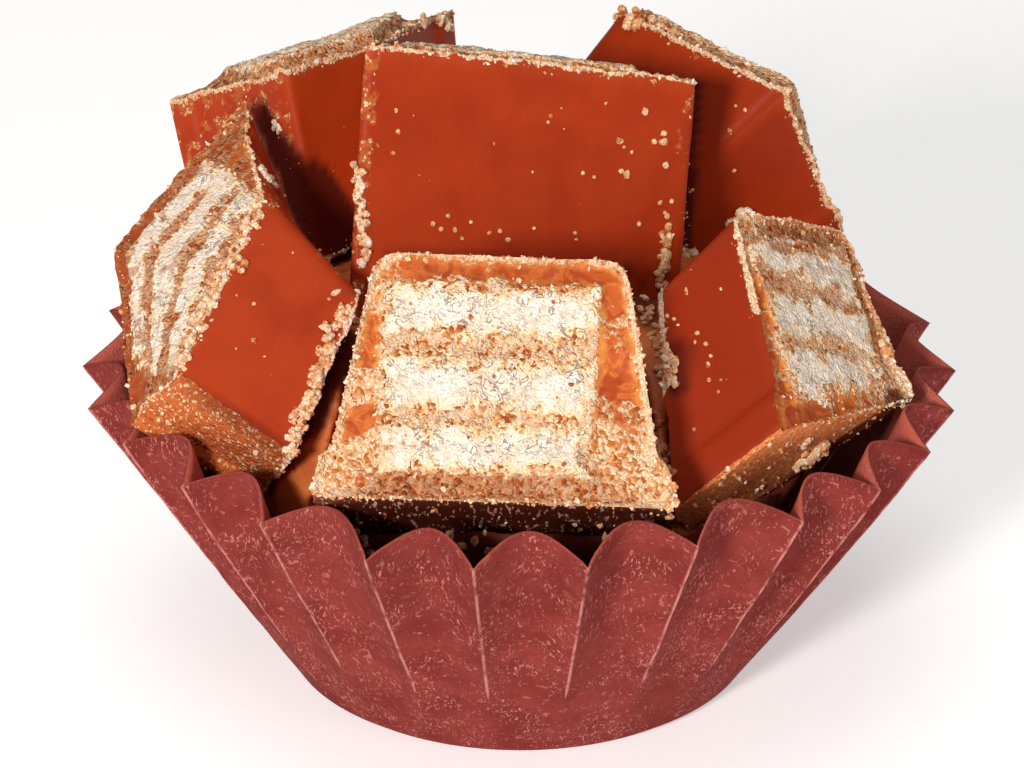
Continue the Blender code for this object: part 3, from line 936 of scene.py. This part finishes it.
def makeCoating(name, piece):
    outer = roundOutline(finger["outline"], finger["around"])
    inner = toBlock(outer, piece)
    thick = np.linalg.norm(outer - inner, axis=1)
    length, axis = lengthwise(piece)
    nearEnd, ring = finger["nearEnd"], finger["ringSteps"]
    near = np.arange(0.0, nearEnd, finger["fineStep"])
    middle = np.linspace(nearEnd, length - nearEnd, round((length - 2 * nearEnd) / finger["step"]))
    stops = np.concatenate([near, middle, length - near[::-1]]) / length
    # rows of points: how far each is in from the rim, and how far along the finger
    rows = [(k / ring, 0.0) for k in range(ring, 0, -1)]
    rows += [(0.0, float(along)) for along in stops]
    rows += [(k / ring, 1.0) for k in range(1, ring + 1)]
    rows += [(1.0, 0.75), (1.0, 0.5), (1.0, 0.25)]
    across, up = (outer / sectionSize).T
    spots = np.array(piece["broken"])
    away = np.linalg.norm(outer[:, None] - spots[None, :, :2] * sectionSize, axis=2)
    share = 1.0 / (away + finger["spotReach"]) ** 4
    looks = share @ spots[:, 2:] / share.sum(axis=1)[:, None]
    rimWide, spill = looks[:, 2], looks[:, 3]
    sides = {"foot": np.clip(1 - up / 0.03, 0, 1), "top": np.clip((up - 0.96) / 0.03, 0, 1),
             "left": np.clip((-across - 0.9) / 0.06, 0, 1), "right": np.clip((across - 0.9) / 0.06, 0, 1)}
    laid, paintedLight = (sum(piece.get(key, {}).get(side, 0.0) * part for side, part in sides.items())
                  for key in ("dust", "paintedLight"))
    cover, none = crumbCover, np.zeros(len(outer))
    skinReach = np.maximum(cover["skinReach"] + cover["reachPerSpill"] * spill, 0.05)
    points = []
    values = {label: [] for label in ("cutDepth", "layerGap", "dust", "deep", "crumbs", "outward")}
    for inward, along in rows:
        atEnd, onSkin = along in (0.0, 1.0), inward == 0
        spot = (outer * (1 - inward) + inner * inward) / sectionSize
        points.append(inPiece(piece, spot[:, 0], none + along, spot[:, 1]))
        away = -length * min(along, 1 - along) if onSkin else insideDepth
        depth = inward * thick if atEnd else none + away
        gap = (1 - inward) * thick if atEnd else none + noGap
        edge = np.exp(-(depth / np.where(depth >= 0, cover["rimReach"], skinReach)) ** 2)
        edge = edge * (np.clip(rimWide * 5 + 0.5, 0, 1) + np.clip(rimWide - 0.5, 0, 1))
        seam = cover["seam"] * np.exp(-(gap / cover["seamReach"]) ** 2)
        loose = cover["dust"] * laid ** 2 + cover["skin"] if onSkin else cover["end"]
        shown = 1.0 if atEnd or onSkin else 0.0
        torn = np.clip((depth + cover["torn"]) / cover["torn"], 0.0, 1.0) * shown
        # deep is painted shade on the wide flat side
        row = (depth, gap, laid if onSkin else none,
               sides["foot"] * piece.get("deep", 0.0) if onSkin else none,
               (np.maximum(edge, seam) + loose) * shown, torn[:, None] * axis * (1.0 if along > 0.5 else -1.0))
        for label, numbers in zip(values, row):
            values[label].append(numbers)
    values = {label: np.concatenate(numbers) for label, numbers in values.items()}
    points = np.concatenate(points)
    count = len(rows)
    # painted shade over the whole piece (darker), and how ragged its layers are
    for label, usual in (("darker", 0.0), ("ragged", 1.0)):
        values[label] = np.full(len(points), piece.get(label, usual))
    outlineValues = {"brown": brownAt(piece, up), "paintedLight": paintedLight, "pale": np.clip(rimWide / 0.8, 0, 1)}
    outlineValues.update(zip(("grit", "shade", "rimWide", "spill"), looks.T))
    values.update((label, np.tile(numbers, count)) for label, numbers in outlineValues.items())
    values["pale"] = values["crumbs"] * values["pale"] * 0.5
    # painted shadow from the piece's list of shaded places
    values["paintedShadow"] = hollowAt(points, piece.get("paintedShadows", ()))
    depth, gap = (values[label].astype(np.float32) for label in ("cutDepth", "layerGap"))
    values["middle"] = np.clip(depth / 0.4, 0, 1) * np.clip(gap / 0.5, 0, 1) * (gap < noGap)
    return newMesh(name, points, tubeFaces(count, finger["around"]), values)


def makeLayer(name, piece, low, high):
    # a slab of wafer or cream, finely divided at its two broken ends
    stops = finger["layerStops"]
    last = len(stops) - 1
    middle = (low + high) / 2
    width = finger["halfWidth"] * float(blockEdge(piece, 1, middle) - blockEdge(piece, -1, middle))
    columns = round(width / finger["layerStep"])
    rows = max(3, round((high - low) * finger["height"] / finger["layerStep"]))
    lowered = piece.get("lowered", 0.0) if high >= finger["blockHigh"] - hair else 0.0
    grid, points, layerEdge, facing = {}, [], [], []

    def spot(i, k, s):
        if (i, k, s) not in grid:
            across = 2 * i / columns - 1
            foot, top = (layerBorder(piece, across, level) for level in (low, high))
            up = foot + (top - foot) * k / rows
            height = (top - foot) * finger["height"]
            grid[i, k, s] = len(points)
            points.append((float(blockEdge(piece, across, up)), stops[s], up))
            layerEdge.append(min(min(i, columns - i) / columns * width, k / rows * height,
                                 (rows - k) / rows * height - lowered))
            facing.append({0: -1.0, last: 1.0}.get(s, 0.0))
        return grid[i, k, s]

    faces = [[spot(i, k, s), spot(i + 1, k, s), spot(i + 1, k + 1, s), spot(i, k + 1, s)]
             for i in range(columns) for k in range(rows) for s in (0, last)]
    for s in range(last):
        faces += [[spot(i, k, s), spot(i + 1, k, s), spot(i + 1, k, s + 1), spot(i, k, s + 1)]
                  for i in range(columns) for k in (0, rows)]
        faces += [[spot(i, k, s), spot(i, k + 1, s), spot(i, k + 1, s + 1), spot(i, k, s + 1)]
                  for k in range(rows) for i in (0, columns)]
    across, along, up = np.array(points).T
    facing = np.array(facing)
    values = {"layerEdge": layerEdge, "crumbs": crumbCover["layer"] * np.abs(facing),
              "outward": facing[:, None] * lengthwise(piece)[1],
              "middle": np.clip(np.array(layerEdge) / 0.3, 0.0, 1.0),
              "ragged": np.full(len(points), piece.get("ragged", 1.0)), "brown": brownAt(piece, up)}
    return newMesh(name, inPiece(piece, across, along, up), faces, values)


breakShape = {
    "Broad": 0.26 * mm, "Broad Size": 1.9 * mm, "Fine": 0.17 * mm, "Fine Size": 0.42 * mm,
    "Skin": 0.07 * mm, "Skin Size": 3.2 * mm, "Recess": 0.0,
}
recess = {"coating": 0.28 * mm, "wafer": -0.04 * mm, "cream": 0.1 * mm}


def makeBreakTree():
    # roughens the broken ends outwards, alike in every layer, and leaves the skin almost even
    tree, start, end = newGeometryTree("brokenEnds", breakShape)
    outward = readValue(tree, "outward", "FLOAT_VECTOR")
    torn = lengthOf(outward)
    rough = wave(start["Broad Size"], 1.0) * start["Broad"] + wave(start["Fine Size"], 2.0) * start["Fine"]
    rough = rough - start["Recess"] * readValue(tree, "middle")
    skin = wave(start["Skin Size"], 1.0) * start["Skin"] * (1.0 - torn)
    push = vectorMath("ADD", vectorMath("SCALE", outward, rough), alongNormal(tree, skin))
    finishTree(start, end, moved(tree, start["Geometry"], Offset=push))
    return tree


breakTree = makeBreakTree()


def makePieces():
    hosts = []

    def roughen(obj, kind, finish):
        grow(obj, breakTree, finish, {**breakShape, "Recess": recess[kind]})
        obj.data.set_sharp_from_angle(angle=math.radians(finger["sharp"]))

    for name, piece in pieces.items():
        made = {"wafer": [], "cream": []}
        bottom = finger["blockLow"]
        for layer, thick in finger["layers"]:
            slab = makeLayer(f"{name}_{layer}_slab", piece, bottom, bottom + thick)
            made[layer.split("_")[0]].append((slab, f"{name}_{layer}"))
            bottom += thick
        coating = makeCoating(f"{name}_chocolate", piece)
        roughen(coating, "coating", chocolate)
        hosts.append(copyOf(coating))
        keep(coating, chocolate, "coating", f"{name}_coating")
        for kind, finish in (("wafer", bakedWafer), ("cream", cocoaCream)):
            for slab, _ in made[kind]:
                roughen(slab, kind, finish)
            whole = joined([slab for slab, _ in made[kind]], f"{name}_{kind}s")
            hosts.append(copyOf(whole))
            keep(whole, finish, kind, *[node for _, node in made[kind]])
        print("piece of wafer finger:", name)
    return [linked(host) for host in hosts]


crumbHosts = makePieces()


ballShape = {
    "voxel": 0.3, "smooth": 6, "uneven": 0.16, "unevenSize": 3.0, "crumbs": 0.004,
    # painted shadows on the ball under and between the pieces: two ends, reach in mm and how dark
    "paintedShadows": (((-8.0, -14.3, 11.8), (6.5, -14.3, 11.4), 2.6, 0.92),
                ((-8.6, -3.7, 17.8), (-9.9, -8.0, 16.1), 1.3, 0.95),
                ((5.7, 0.6, 18.7), (6.7, -12.3, 14.0), 1.0, 0.95),
                ((12.9, -6.2, 11.3), (10.1, -9.8, 12.0), 1.4, 0.95)),
}


def makeBall():
    ball = linked(copyOf(frame["nodes"]["brigadeiro"]))
    ball.parent = None
    for key in list(ball.keys()):
        del ball[key]
    ball.name = ball.data.name = "fudgeBall"
    reworked(ball.data, lambda work: bmesh.ops.remove_doubles(work, verts=work.verts, dist=hair))
    blocks = ball.modifiers.new("blocks", "REMESH")
    blocks.mode = "VOXEL"
    blocks.voxel_size = ballShape["voxel"] * mm
    ball.modifiers.new("soften", "SMOOTH").iterations = ballShape["smooth"]
    settle(ball)
    places = np.array([vertex.co / mm for vertex in ball.data.vertices])
    addValue(ball.data, "crumbs", np.full(len(places), ballShape["crumbs"]))
    # painted shadow where the pieces shade the ball
    addValue(ball.data, "paintedShadow", hollowAt(places, ballShape["paintedShadows"]))
    grow(ball, breakTree, cookedFudge,
         {"Skin": ballShape["uneven"] * mm, "Skin Size": ballShape["unevenSize"] * mm})
    ball.data.shade_smooth()
    crumbHosts.append(linked(copyOf(ball)))
    keep(ball, cookedFudge, "brigadeiro", "brigadeiro")
    print("ball of fudge:", len(ball.data.polygons), "faces")


makeBall()


crumbShape = {
    "Per Square Metre": 30e6,
    "Smallest": 0.045 * mm,
    "Largest": 0.19 * mm,
    "Seed": 4,
}
crumbAngular = 1.5            # how far the corners of a crumb stray, in its radii


def makeCrumbTree():
    # crumbs over a surface, as thick as its "crumbs" value says: three angular shapes, and a tint each
    tree, start, end = newGeometryTree("scatteredCrumbs", crumbShape)
    sockets = {"Mesh": start["Geometry"], "Density": readValue(tree, "crumbs") * start["Per Square Metre"],
               "Seed": start["Seed"]}
    points = out(tree, "GeometryNodeDistributePointsOnFaces", sockets)
    shapes = addNode(tree, "GeometryNodeGeometryToInstance")
    for shift in (1.0, 4.7, 8.3):
        ball = out(tree, "GeometryNodeMeshUVSphere", {"Segments": 5, "Rings": 2, "Radius": 1.0})
        where = vectorMath("ADD", position(tree), (shift,) * 3)
        uneven = out(tree, "ShaderNodeTexNoise", {"Vector": where, "Scale": 1.1, "Detail": 0.0}, "Color")
        push = vectorMath("SCALE", vectorMath("SUBTRACT", uneven, (0.5, 0.5, 0.5)), crumbAngular)
        fill(shapes, {0: moved(tree, ball, Offset=push)})

    def chance(low, high, seed, kind="FLOAT"):
        first = {"FLOAT_VECTOR": 0, "FLOAT": 2, "INT": 4}[kind]
        sockets = {first: low, first + 1: high, "Seed": seed}
        return out(tree, "FunctionNodeRandomValue", sockets, first // 2, data_type=kind)

    draw = calc("POWER", chance(0.0, 1.0, 11), 3.0)         # most crumbs are small
    radius = start["Smallest"] + draw * (start["Largest"] - start["Smallest"])
    angles = chance((0.0,) * 3, (6.28,) * 3, 13, "FLOAT_VECTOR")
    turn = out(tree, "FunctionNodeEulerToRotation", {0: angles})
    laid = out(tree, "GeometryNodeInstanceOnPoints", {
        "Points": points, "Instance": Value(shapes.outputs[0]), "Pick Instance": True,
        "Instance Index": chance(0, 2, 15, "INT"), "Rotation": turn,
        "Scale": vectorMath("SCALE", chance((0.6, 0.6, 0.5), (1.3, 1.2, 1.0), 12, "FLOAT_VECTOR"), radius)})
    tint = chance(0.05, 0.8, 14) + readValue(tree, "pale")
    finishTree(start, end, storeValue(tree, laid, "tint", tint, "INSTANCE"))
    return tree


cameraView = {"elevation": 25.0, "distance": 200.0, "aim": (-0.385, 0.041, 14.087), "pixelsPerUnit": 4160.0,
              "imageWidth": 1024.0, "imageHeight": 768.0, "sensor": 36.0}


def viewLine(view, across, down):
    # where the camera stands, and the way it looks through one place of the photograph
    tilt = math.radians(view["elevation"])
    ahead = Vector((0.0, math.cos(tilt), -math.sin(tilt)))
    above = Vector((0.0, math.sin(tilt), math.cos(tilt)))
    way = (ahead * view["pixelsPerUnit"] + Vector((1.0, 0.0, 0.0)) * (across - view["imageWidth"] / 2)
           + above * (view["imageHeight"] / 2 - down))
    return Vector(view["aim"]) - ahead * view["distance"], way.normalized()


# Broken bits: across and down in the photograph's view, mm wide, mm high, tint and, where it is turned, degrees
bits = (
    # beside the right piece's left edge
    (660, 345, 0.6, 0.6, 0.45), (666, 356, 0.6, 0.7, 0.55), (670, 368, 0.6, 0.7, 0.55, 10),
    (672, 380, 0.5, 0.6, 0.55), (660, 370, 0.6, 0.6, 0.5), (675, 362, 0.4, 0.6, 0.6),
    # on and under the right piece
    (739, 214, 1.1, 0.9, 0.9), (731, 222, 0.6, 0.5, 0.8), (892, 342, 1.0, 0.9, 0.35, 30),
    (885, 351, 0.8, 0.8, 0.4), (812, 450, 1.4, 1.2, 0.5, 20), (800, 462, 1.0, 1.2, 0.5),
    (826, 470, 1.0, 0.8, 0.6), (806, 441, 0.8, 0.6, 0.9), (697, 333, 0.22, 0.22, 0.48),
    (695, 342, 0.14, 0.22, 0.38), (706, 344, 0.22, 0.22, 0.33), (711, 356, 0.22, 0.18, 0.38),
    (708, 365, 0.22, 0.29, 0.28), (709, 380, 0.22, 0.22, 0.38), (721, 380, 0.18, 0.18, 0.38),
    (694, 430, 0.18, 0.22, 0.28), (669, 455, 0.5, 0.6, 0.4), (671, 470, 0.5, 0.6, 0.5),
    (672, 486, 0.5, 0.6, 0.45), (674, 502, 0.5, 0.6, 0.55), (769, 444, 0.25, 0.25, 0.68),
    (728, 469, 0.29, 0.29, 0.58), (678, 325, 0.18, 0.14, 0.43), (674, 319, 0.22, 0.18, 0.38),
    (667, 316, 0.22, 0.22, 0.38), (721, 289, 0.14, 0.18, 0.48), (686, 255, 0.9, 0.9, 0.45),
    # on the centre piece
    (645, 112, 0.34, 0.36, 0.58), (620, 141, 0.38, 0.32, 0.58), (664, 133, 0.32, 0.3, 0.48),
    (664, 142, 0.44, 0.4, 0.48), (654, 142, 0.28, 0.28, 0.58), (666, 165, 0.32, 0.4, 0.48),
    (621, 171, 0.26, 0.26, 0.68), (627, 174, 0.34, 0.32, 0.48), (660, 203, 0.25, 0.25, 0.38),
    (667, 216, 0.29, 0.29, 0.38), (396, 110, 0.2, 0.2, 0.35), (398, 131, 0.22, 0.22, 0.5),
    (393, 153, 0.22, 0.22, 0.4), (551, 116, 0.2, 0.2, 0.35), (548, 122, 0.18, 0.18, 0.5),
    (433, 224, 0.24, 0.26, 0.4), (441, 229, 0.28, 0.26, 0.45), (455, 230, 0.26, 0.3, 0.4),
    (462, 238, 0.22, 0.22, 0.35), (508, 240, 0.28, 0.24, 0.5), (500, 231, 0.22, 0.22, 0.4),
    (448, 216, 0.22, 0.22, 0.35), (471, 222, 0.2, 0.2, 0.5), (489, 233, 0.2, 0.2, 0.4),
    (534, 228, 0.2, 0.2, 0.35), (575, 233, 0.22, 0.22, 0.5), (639, 224, 0.25, 0.25, 0.4),
    (624, 147, 0.2, 0.2, 0.35), (632, 152, 0.18, 0.18, 0.5), (583, 173, 0.2, 0.2, 0.4),
    (594, 177, 0.2, 0.2, 0.35), (672, 201, 0.25, 0.25, 0.5), (665, 213, 0.22, 0.22, 0.4),
    # on and beside the left piece
    (262, 172, 0.6, 0.6, 0.95), (272, 183, 0.6, 0.8, 1.0), (266, 178, 0.5, 0.5, 0.9),
    (278, 127, 0.8, 0.45, 1.0, -35), (274, 122, 0.29, 0.29, 0.78), (254, 304, 0.22, 0.18, 0.33),
    (336, 293, 0.5, 0.3, 0.6, 30), (330, 299, 0.22, 0.18, 0.33), (254, 340, 0.25, 0.22, 0.23),
    (238, 269, 0.5, 0.5, 0.25), (245, 264, 0.4, 0.5, 0.2), (328, 332, 0.22, 0.22, 0.28),
    (326, 348, 0.22, 0.22, 0.38), (293, 253, 0.14, 0.14, 0.38), (320, 250, 0.18, 0.14, 0.48),
    # under the front piece
    (355, 530, 0.5, 0.5, 0.5), (365, 540, 0.5, 0.6, 0.45), (372, 552, 0.5, 0.4, 0.55),
    (360, 522, 0.29, 0.22, 0.28), (450, 535, 0.4, 0.5, 0.45), (462, 545, 0.5, 0.4, 0.4),
    (475, 540, 0.4, 0.5, 0.5), (490, 550, 0.5, 0.5, 0.45), (485, 533, 0.22, 0.29, 0.28),
    (600, 525, 0.3, 0.7, 0.6), (605, 540, 0.3, 0.8, 0.55), (598, 552, 0.29, 0.29, 0.38),
    # along the top of the two back pieces
    (620, 16, 0.9, 1.0, 0.35), (632, 18, 1.1, 1.2, 0.35), (646, 22, 1.1, 1.1, 0.35), (662, 29, 1.0, 0.9, 0.35),
    (676, 36, 0.9, 0.8, 0.45), (410, 25, 0.8, 0.6, 0.45), (424, 22, 1.0, 0.6, 0.5), (438, 20, 1.0, 0.6, 0.55),
    (448, 24, 0.8, 0.7, 0.55), (745, 110, 0.22, 0.22, 0.38), (736, 106, 0.18, 0.18, 0.38),
    (730, 130, 0.22, 0.22, 0.28), (692, 190, 0.22, 0.22, 0.28),
)
# Strips of them: where one starts and ends in the photograph's view, how far it strays, how many, mm wide, tint
strips = (
    ((357, 166), (366, 262), 4.5, 44, 0.36, 0.6),       # left edge of the centre piece
    ((667, 228), (661, 286), 4.0, 26, 0.38, 0.45),       # and the foot of its right edge
    ((346, 304), (288, 454), 5.0, 34, 0.6, 0.55),       # right edge of the left piece
    ((263, 198), (179, 362), 5.0, 44, 0.45, 0.6),       # between its cut end and its side
    ((641, 298), (668, 380), 7.0, 40, 0.34, 0.45),       # left edge of the right piece
    ((656, 425), (673, 535), 3.5, 22, 0.45, 0.42),
)
bitShape = {"Lump": 0.24 * mm, "Lump Size": 0.3 * mm}
# Bits from this many mm are heaps of small parts; cover says how thick crumbs lie on a bit
breaking = {"from": 0.45, "parts": 8, "smallest": 0.3, "largest": 0.62, "strays": 0.36, "uneven": 0.25,
            "turned": 40.0, "lighter": 0.2, "high": 0.8, "cover": 1.3, "seed": 3}


def makeBitTree():
    # a knobbly lump at each point, with the point's own size and turn
    tree, start, end = newGeometryTree("brokenBits", bitShape)
    lump = out(tree, "GeometryNodeMeshIcoSphere", {"Radius": 1.0, "Subdivisions": 2})
    turn = out(tree, "FunctionNodeEulerToRotation", {0: readValue(tree, "turn", "FLOAT_VECTOR")})
    laid = out(tree, "GeometryNodeInstanceOnPoints", {
        "Points": start["Geometry"], "Instance": lump, "Rotation": turn,
        "Scale": readValue(tree, "size", "FLOAT_VECTOR")})
    lumps = out(tree, "GeometryNodeRealizeInstances", {"Geometry": laid})
    uneven = wave(start["Lump Size"], 1.0) * (start["Lump"] * readValue(tree, "bulk"))
    finishTree(start, end, moved(tree, lumps, Offset=alongNormal(tree, uneven)))
    return tree


def makeCrumbs():
    host = joined(crumbHosts, "crumbs")
    carrier = BVHTree.FromPolygons([vertex.co / mm for vertex in host.data.vertices],
                                   [tuple(face.vertices) for face in host.data.polygons])
    chance = np.random.default_rng(breaking["seed"])
    strays, uneven, turned = breaking["strays"], breaking["uneven"], breaking["turned"]
    laid = list(bits)
    for start, stop, off, count, wide, tint in strips:
        for share in (np.arange(count) + 0.5) / count:
            spot = np.array(start) * (1 - share) + np.array(stop) * share + chance.uniform(-off, off, 2)
            laid.append((*spot, *(wide * chance.uniform(1 - uneven, 1 + uneven, 2)), tint,
                         chance.uniform(-turned, turned)))
    points, values = [], {"size": [], "turn": [], "tint": [], "bulk": []}
    for across, down, wide, high, tint, *degrees in laid:
        eye, way = viewLine(cameraView, across, down)
        spot, normal, _, _ = carrier.ray_cast(eye, way)
        if spot is None:
            continue
        if normal.dot(way) > 0:
            normal = -normal
        sideways = Vector((1.0, 0.0, 0.0)) - normal * normal.x
        sideways = Quaternion(normal, math.radians(sum(degrees))) @ sideways.normalized()
        basis = Matrix((sideways, normal.cross(sideways), normal)).transposed()
        size = Vector((wide, high, breaking["high"] * min(wide, high)))
        parts = breaking["parts"] if min(wide, high) >= breaking["from"] else 1
        for part in range(parts):
            off, share, lighter, turn = Vector((0.0, 0.0, 0.15)), 1.0, 0.0, basis
            if parts > 1:
                off = Vector(chance.uniform((-strays, -strays, -0.05), (strays, strays, 0.3)))
                share, lighter = chance.uniform((breaking["smallest"], -breaking["lighter"]),
                                                (breaking["largest"], breaking["lighter"]))
                turn = basis @ Matrix.Rotation(chance.uniform(0.0, math.pi), 3, "Z")
            points.append(spot + basis @ Vector(off[k] * size[k] for k in range(3)))
            row = (size * share * mm / 2, turn.to_euler(), tint + lighter, min(1.0, wide, high) * share)
            for label, value in zip(values, row):
                values[label].append(value)
    lumps = newMesh("brokenBits", points, [], values)
    grow(lumps, makeBitTree(), looseCrumb, bitShape)
    cover = linked(copyOf(lumps))
    addValue(cover.data, "crumbs", np.clip(valuesOf(cover, "bulk") - 0.1, 0.0, 0.5) * breaking["cover"])
    host = joined([host, cover], "crumbs")
    keep(lumps, looseCrumb, "wafer")
    print("broken bits:", len(points), "lumps")
    grow(host, makeCrumbTree(), looseCrumb, crumbShape)
    keep(host, looseCrumb, "wafer")
    print("crumbs:", len(host.data.polygons), "faces")


makeCrumbs()


# Floor, light and camera.

# Metres from the floor's middle to its sides, and the light that it gives off
floorLook = {"reach": 0.6, "colour": (0.9, 0.9, 0.9, 1.0), "roughness": 0.9, "gloss": 0.1, "glow": 0.42}


def makeFloor():
    reach = floorLook["reach"]
    mesh = bpy.data.meshes.new("floor")
    mesh.from_pydata([(-reach, -reach, 0), (reach, -reach, 0), (reach, reach, 0), (-reach, reach, 0)],
                     [], [(0, 1, 2, 3)])
    made, _, shader, _ = newMaterial("paleFloor", floorLook["roughness"], floorLook["gloss"])
    fill(shader, {"Base Color": floorLook["colour"], "Emission Color": (1.0, 1.0, 1.0, 1.0),
                  "Emission Strength": floorLook["glow"]})
    mesh.materials.append(made)
    placed("floor", mesh)


# Metres and watts; the sky is white light from everywhere
lights = {
    "key": {"at": (-0.157, -0.39, 0.177), "size": 0.07, "power": 1.7, "colour": (1.0, 0.97, 0.94)},
    "side": {"at": (0.3, -0.28, 0.08), "size": 0.25, "power": 0.36, "colour": (1.0, 0.98, 0.96)},
    "above": {"at": (-0.04, -0.02, 0.46), "size": 0.3, "power": 0.55, "colour": (1.0, 0.99, 0.97)},
}
sky = 0.19
lightsAim = (0.0, 0.0, 0.014)


def makeLights():
    for name, look in lights.items():
        lamp = bpy.data.lights.new(name, "AREA")
        lamp.shape = "SQUARE"
        lamp.size, lamp.energy, lamp.color = look["size"], look["power"], look["colour"]
        obj = placed(name, lamp)
        obj.location = look["at"]
        obj.rotation_euler = (Vector(look["at"]) - Vector(lightsAim)).to_track_quat("Z", "Y").to_euler()
    world = bpy.data.worlds.new("studio")
    world.use_nodes = True
    fill(world.node_tree.nodes["Background"], {0: (1.0, 1.0, 1.0, 1.0), 1: sky})
    bpy.context.scene.world = world


def makeCamera(view):
    data = bpy.data.cameras.new("photoView")
    data.sensor_width = view["sensor"]
    data.lens = view["pixelsPerUnit"] / view["imageWidth"] * view["sensor"]
    data.clip_start, data.clip_end = 0.01, 5.0
    obj = placed("photoView", data)
    tilt = math.radians(view["elevation"])
    back = Vector((0.0, -math.cos(tilt), math.sin(tilt))) * view["distance"]
    obj.location = (Vector(view["aim"]) + back) * mm
    obj.rotation_euler = (math.pi / 2 - tilt, 0.0, 0.0)
    bpy.context.scene.camera = obj


makeFloor()
makeLights()
makeCamera(cameraView)
bpy.context.scene.view_settings.view_transform = "Standard"
bpy.context.scene.view_settings.look = "None"

print("scene finished")
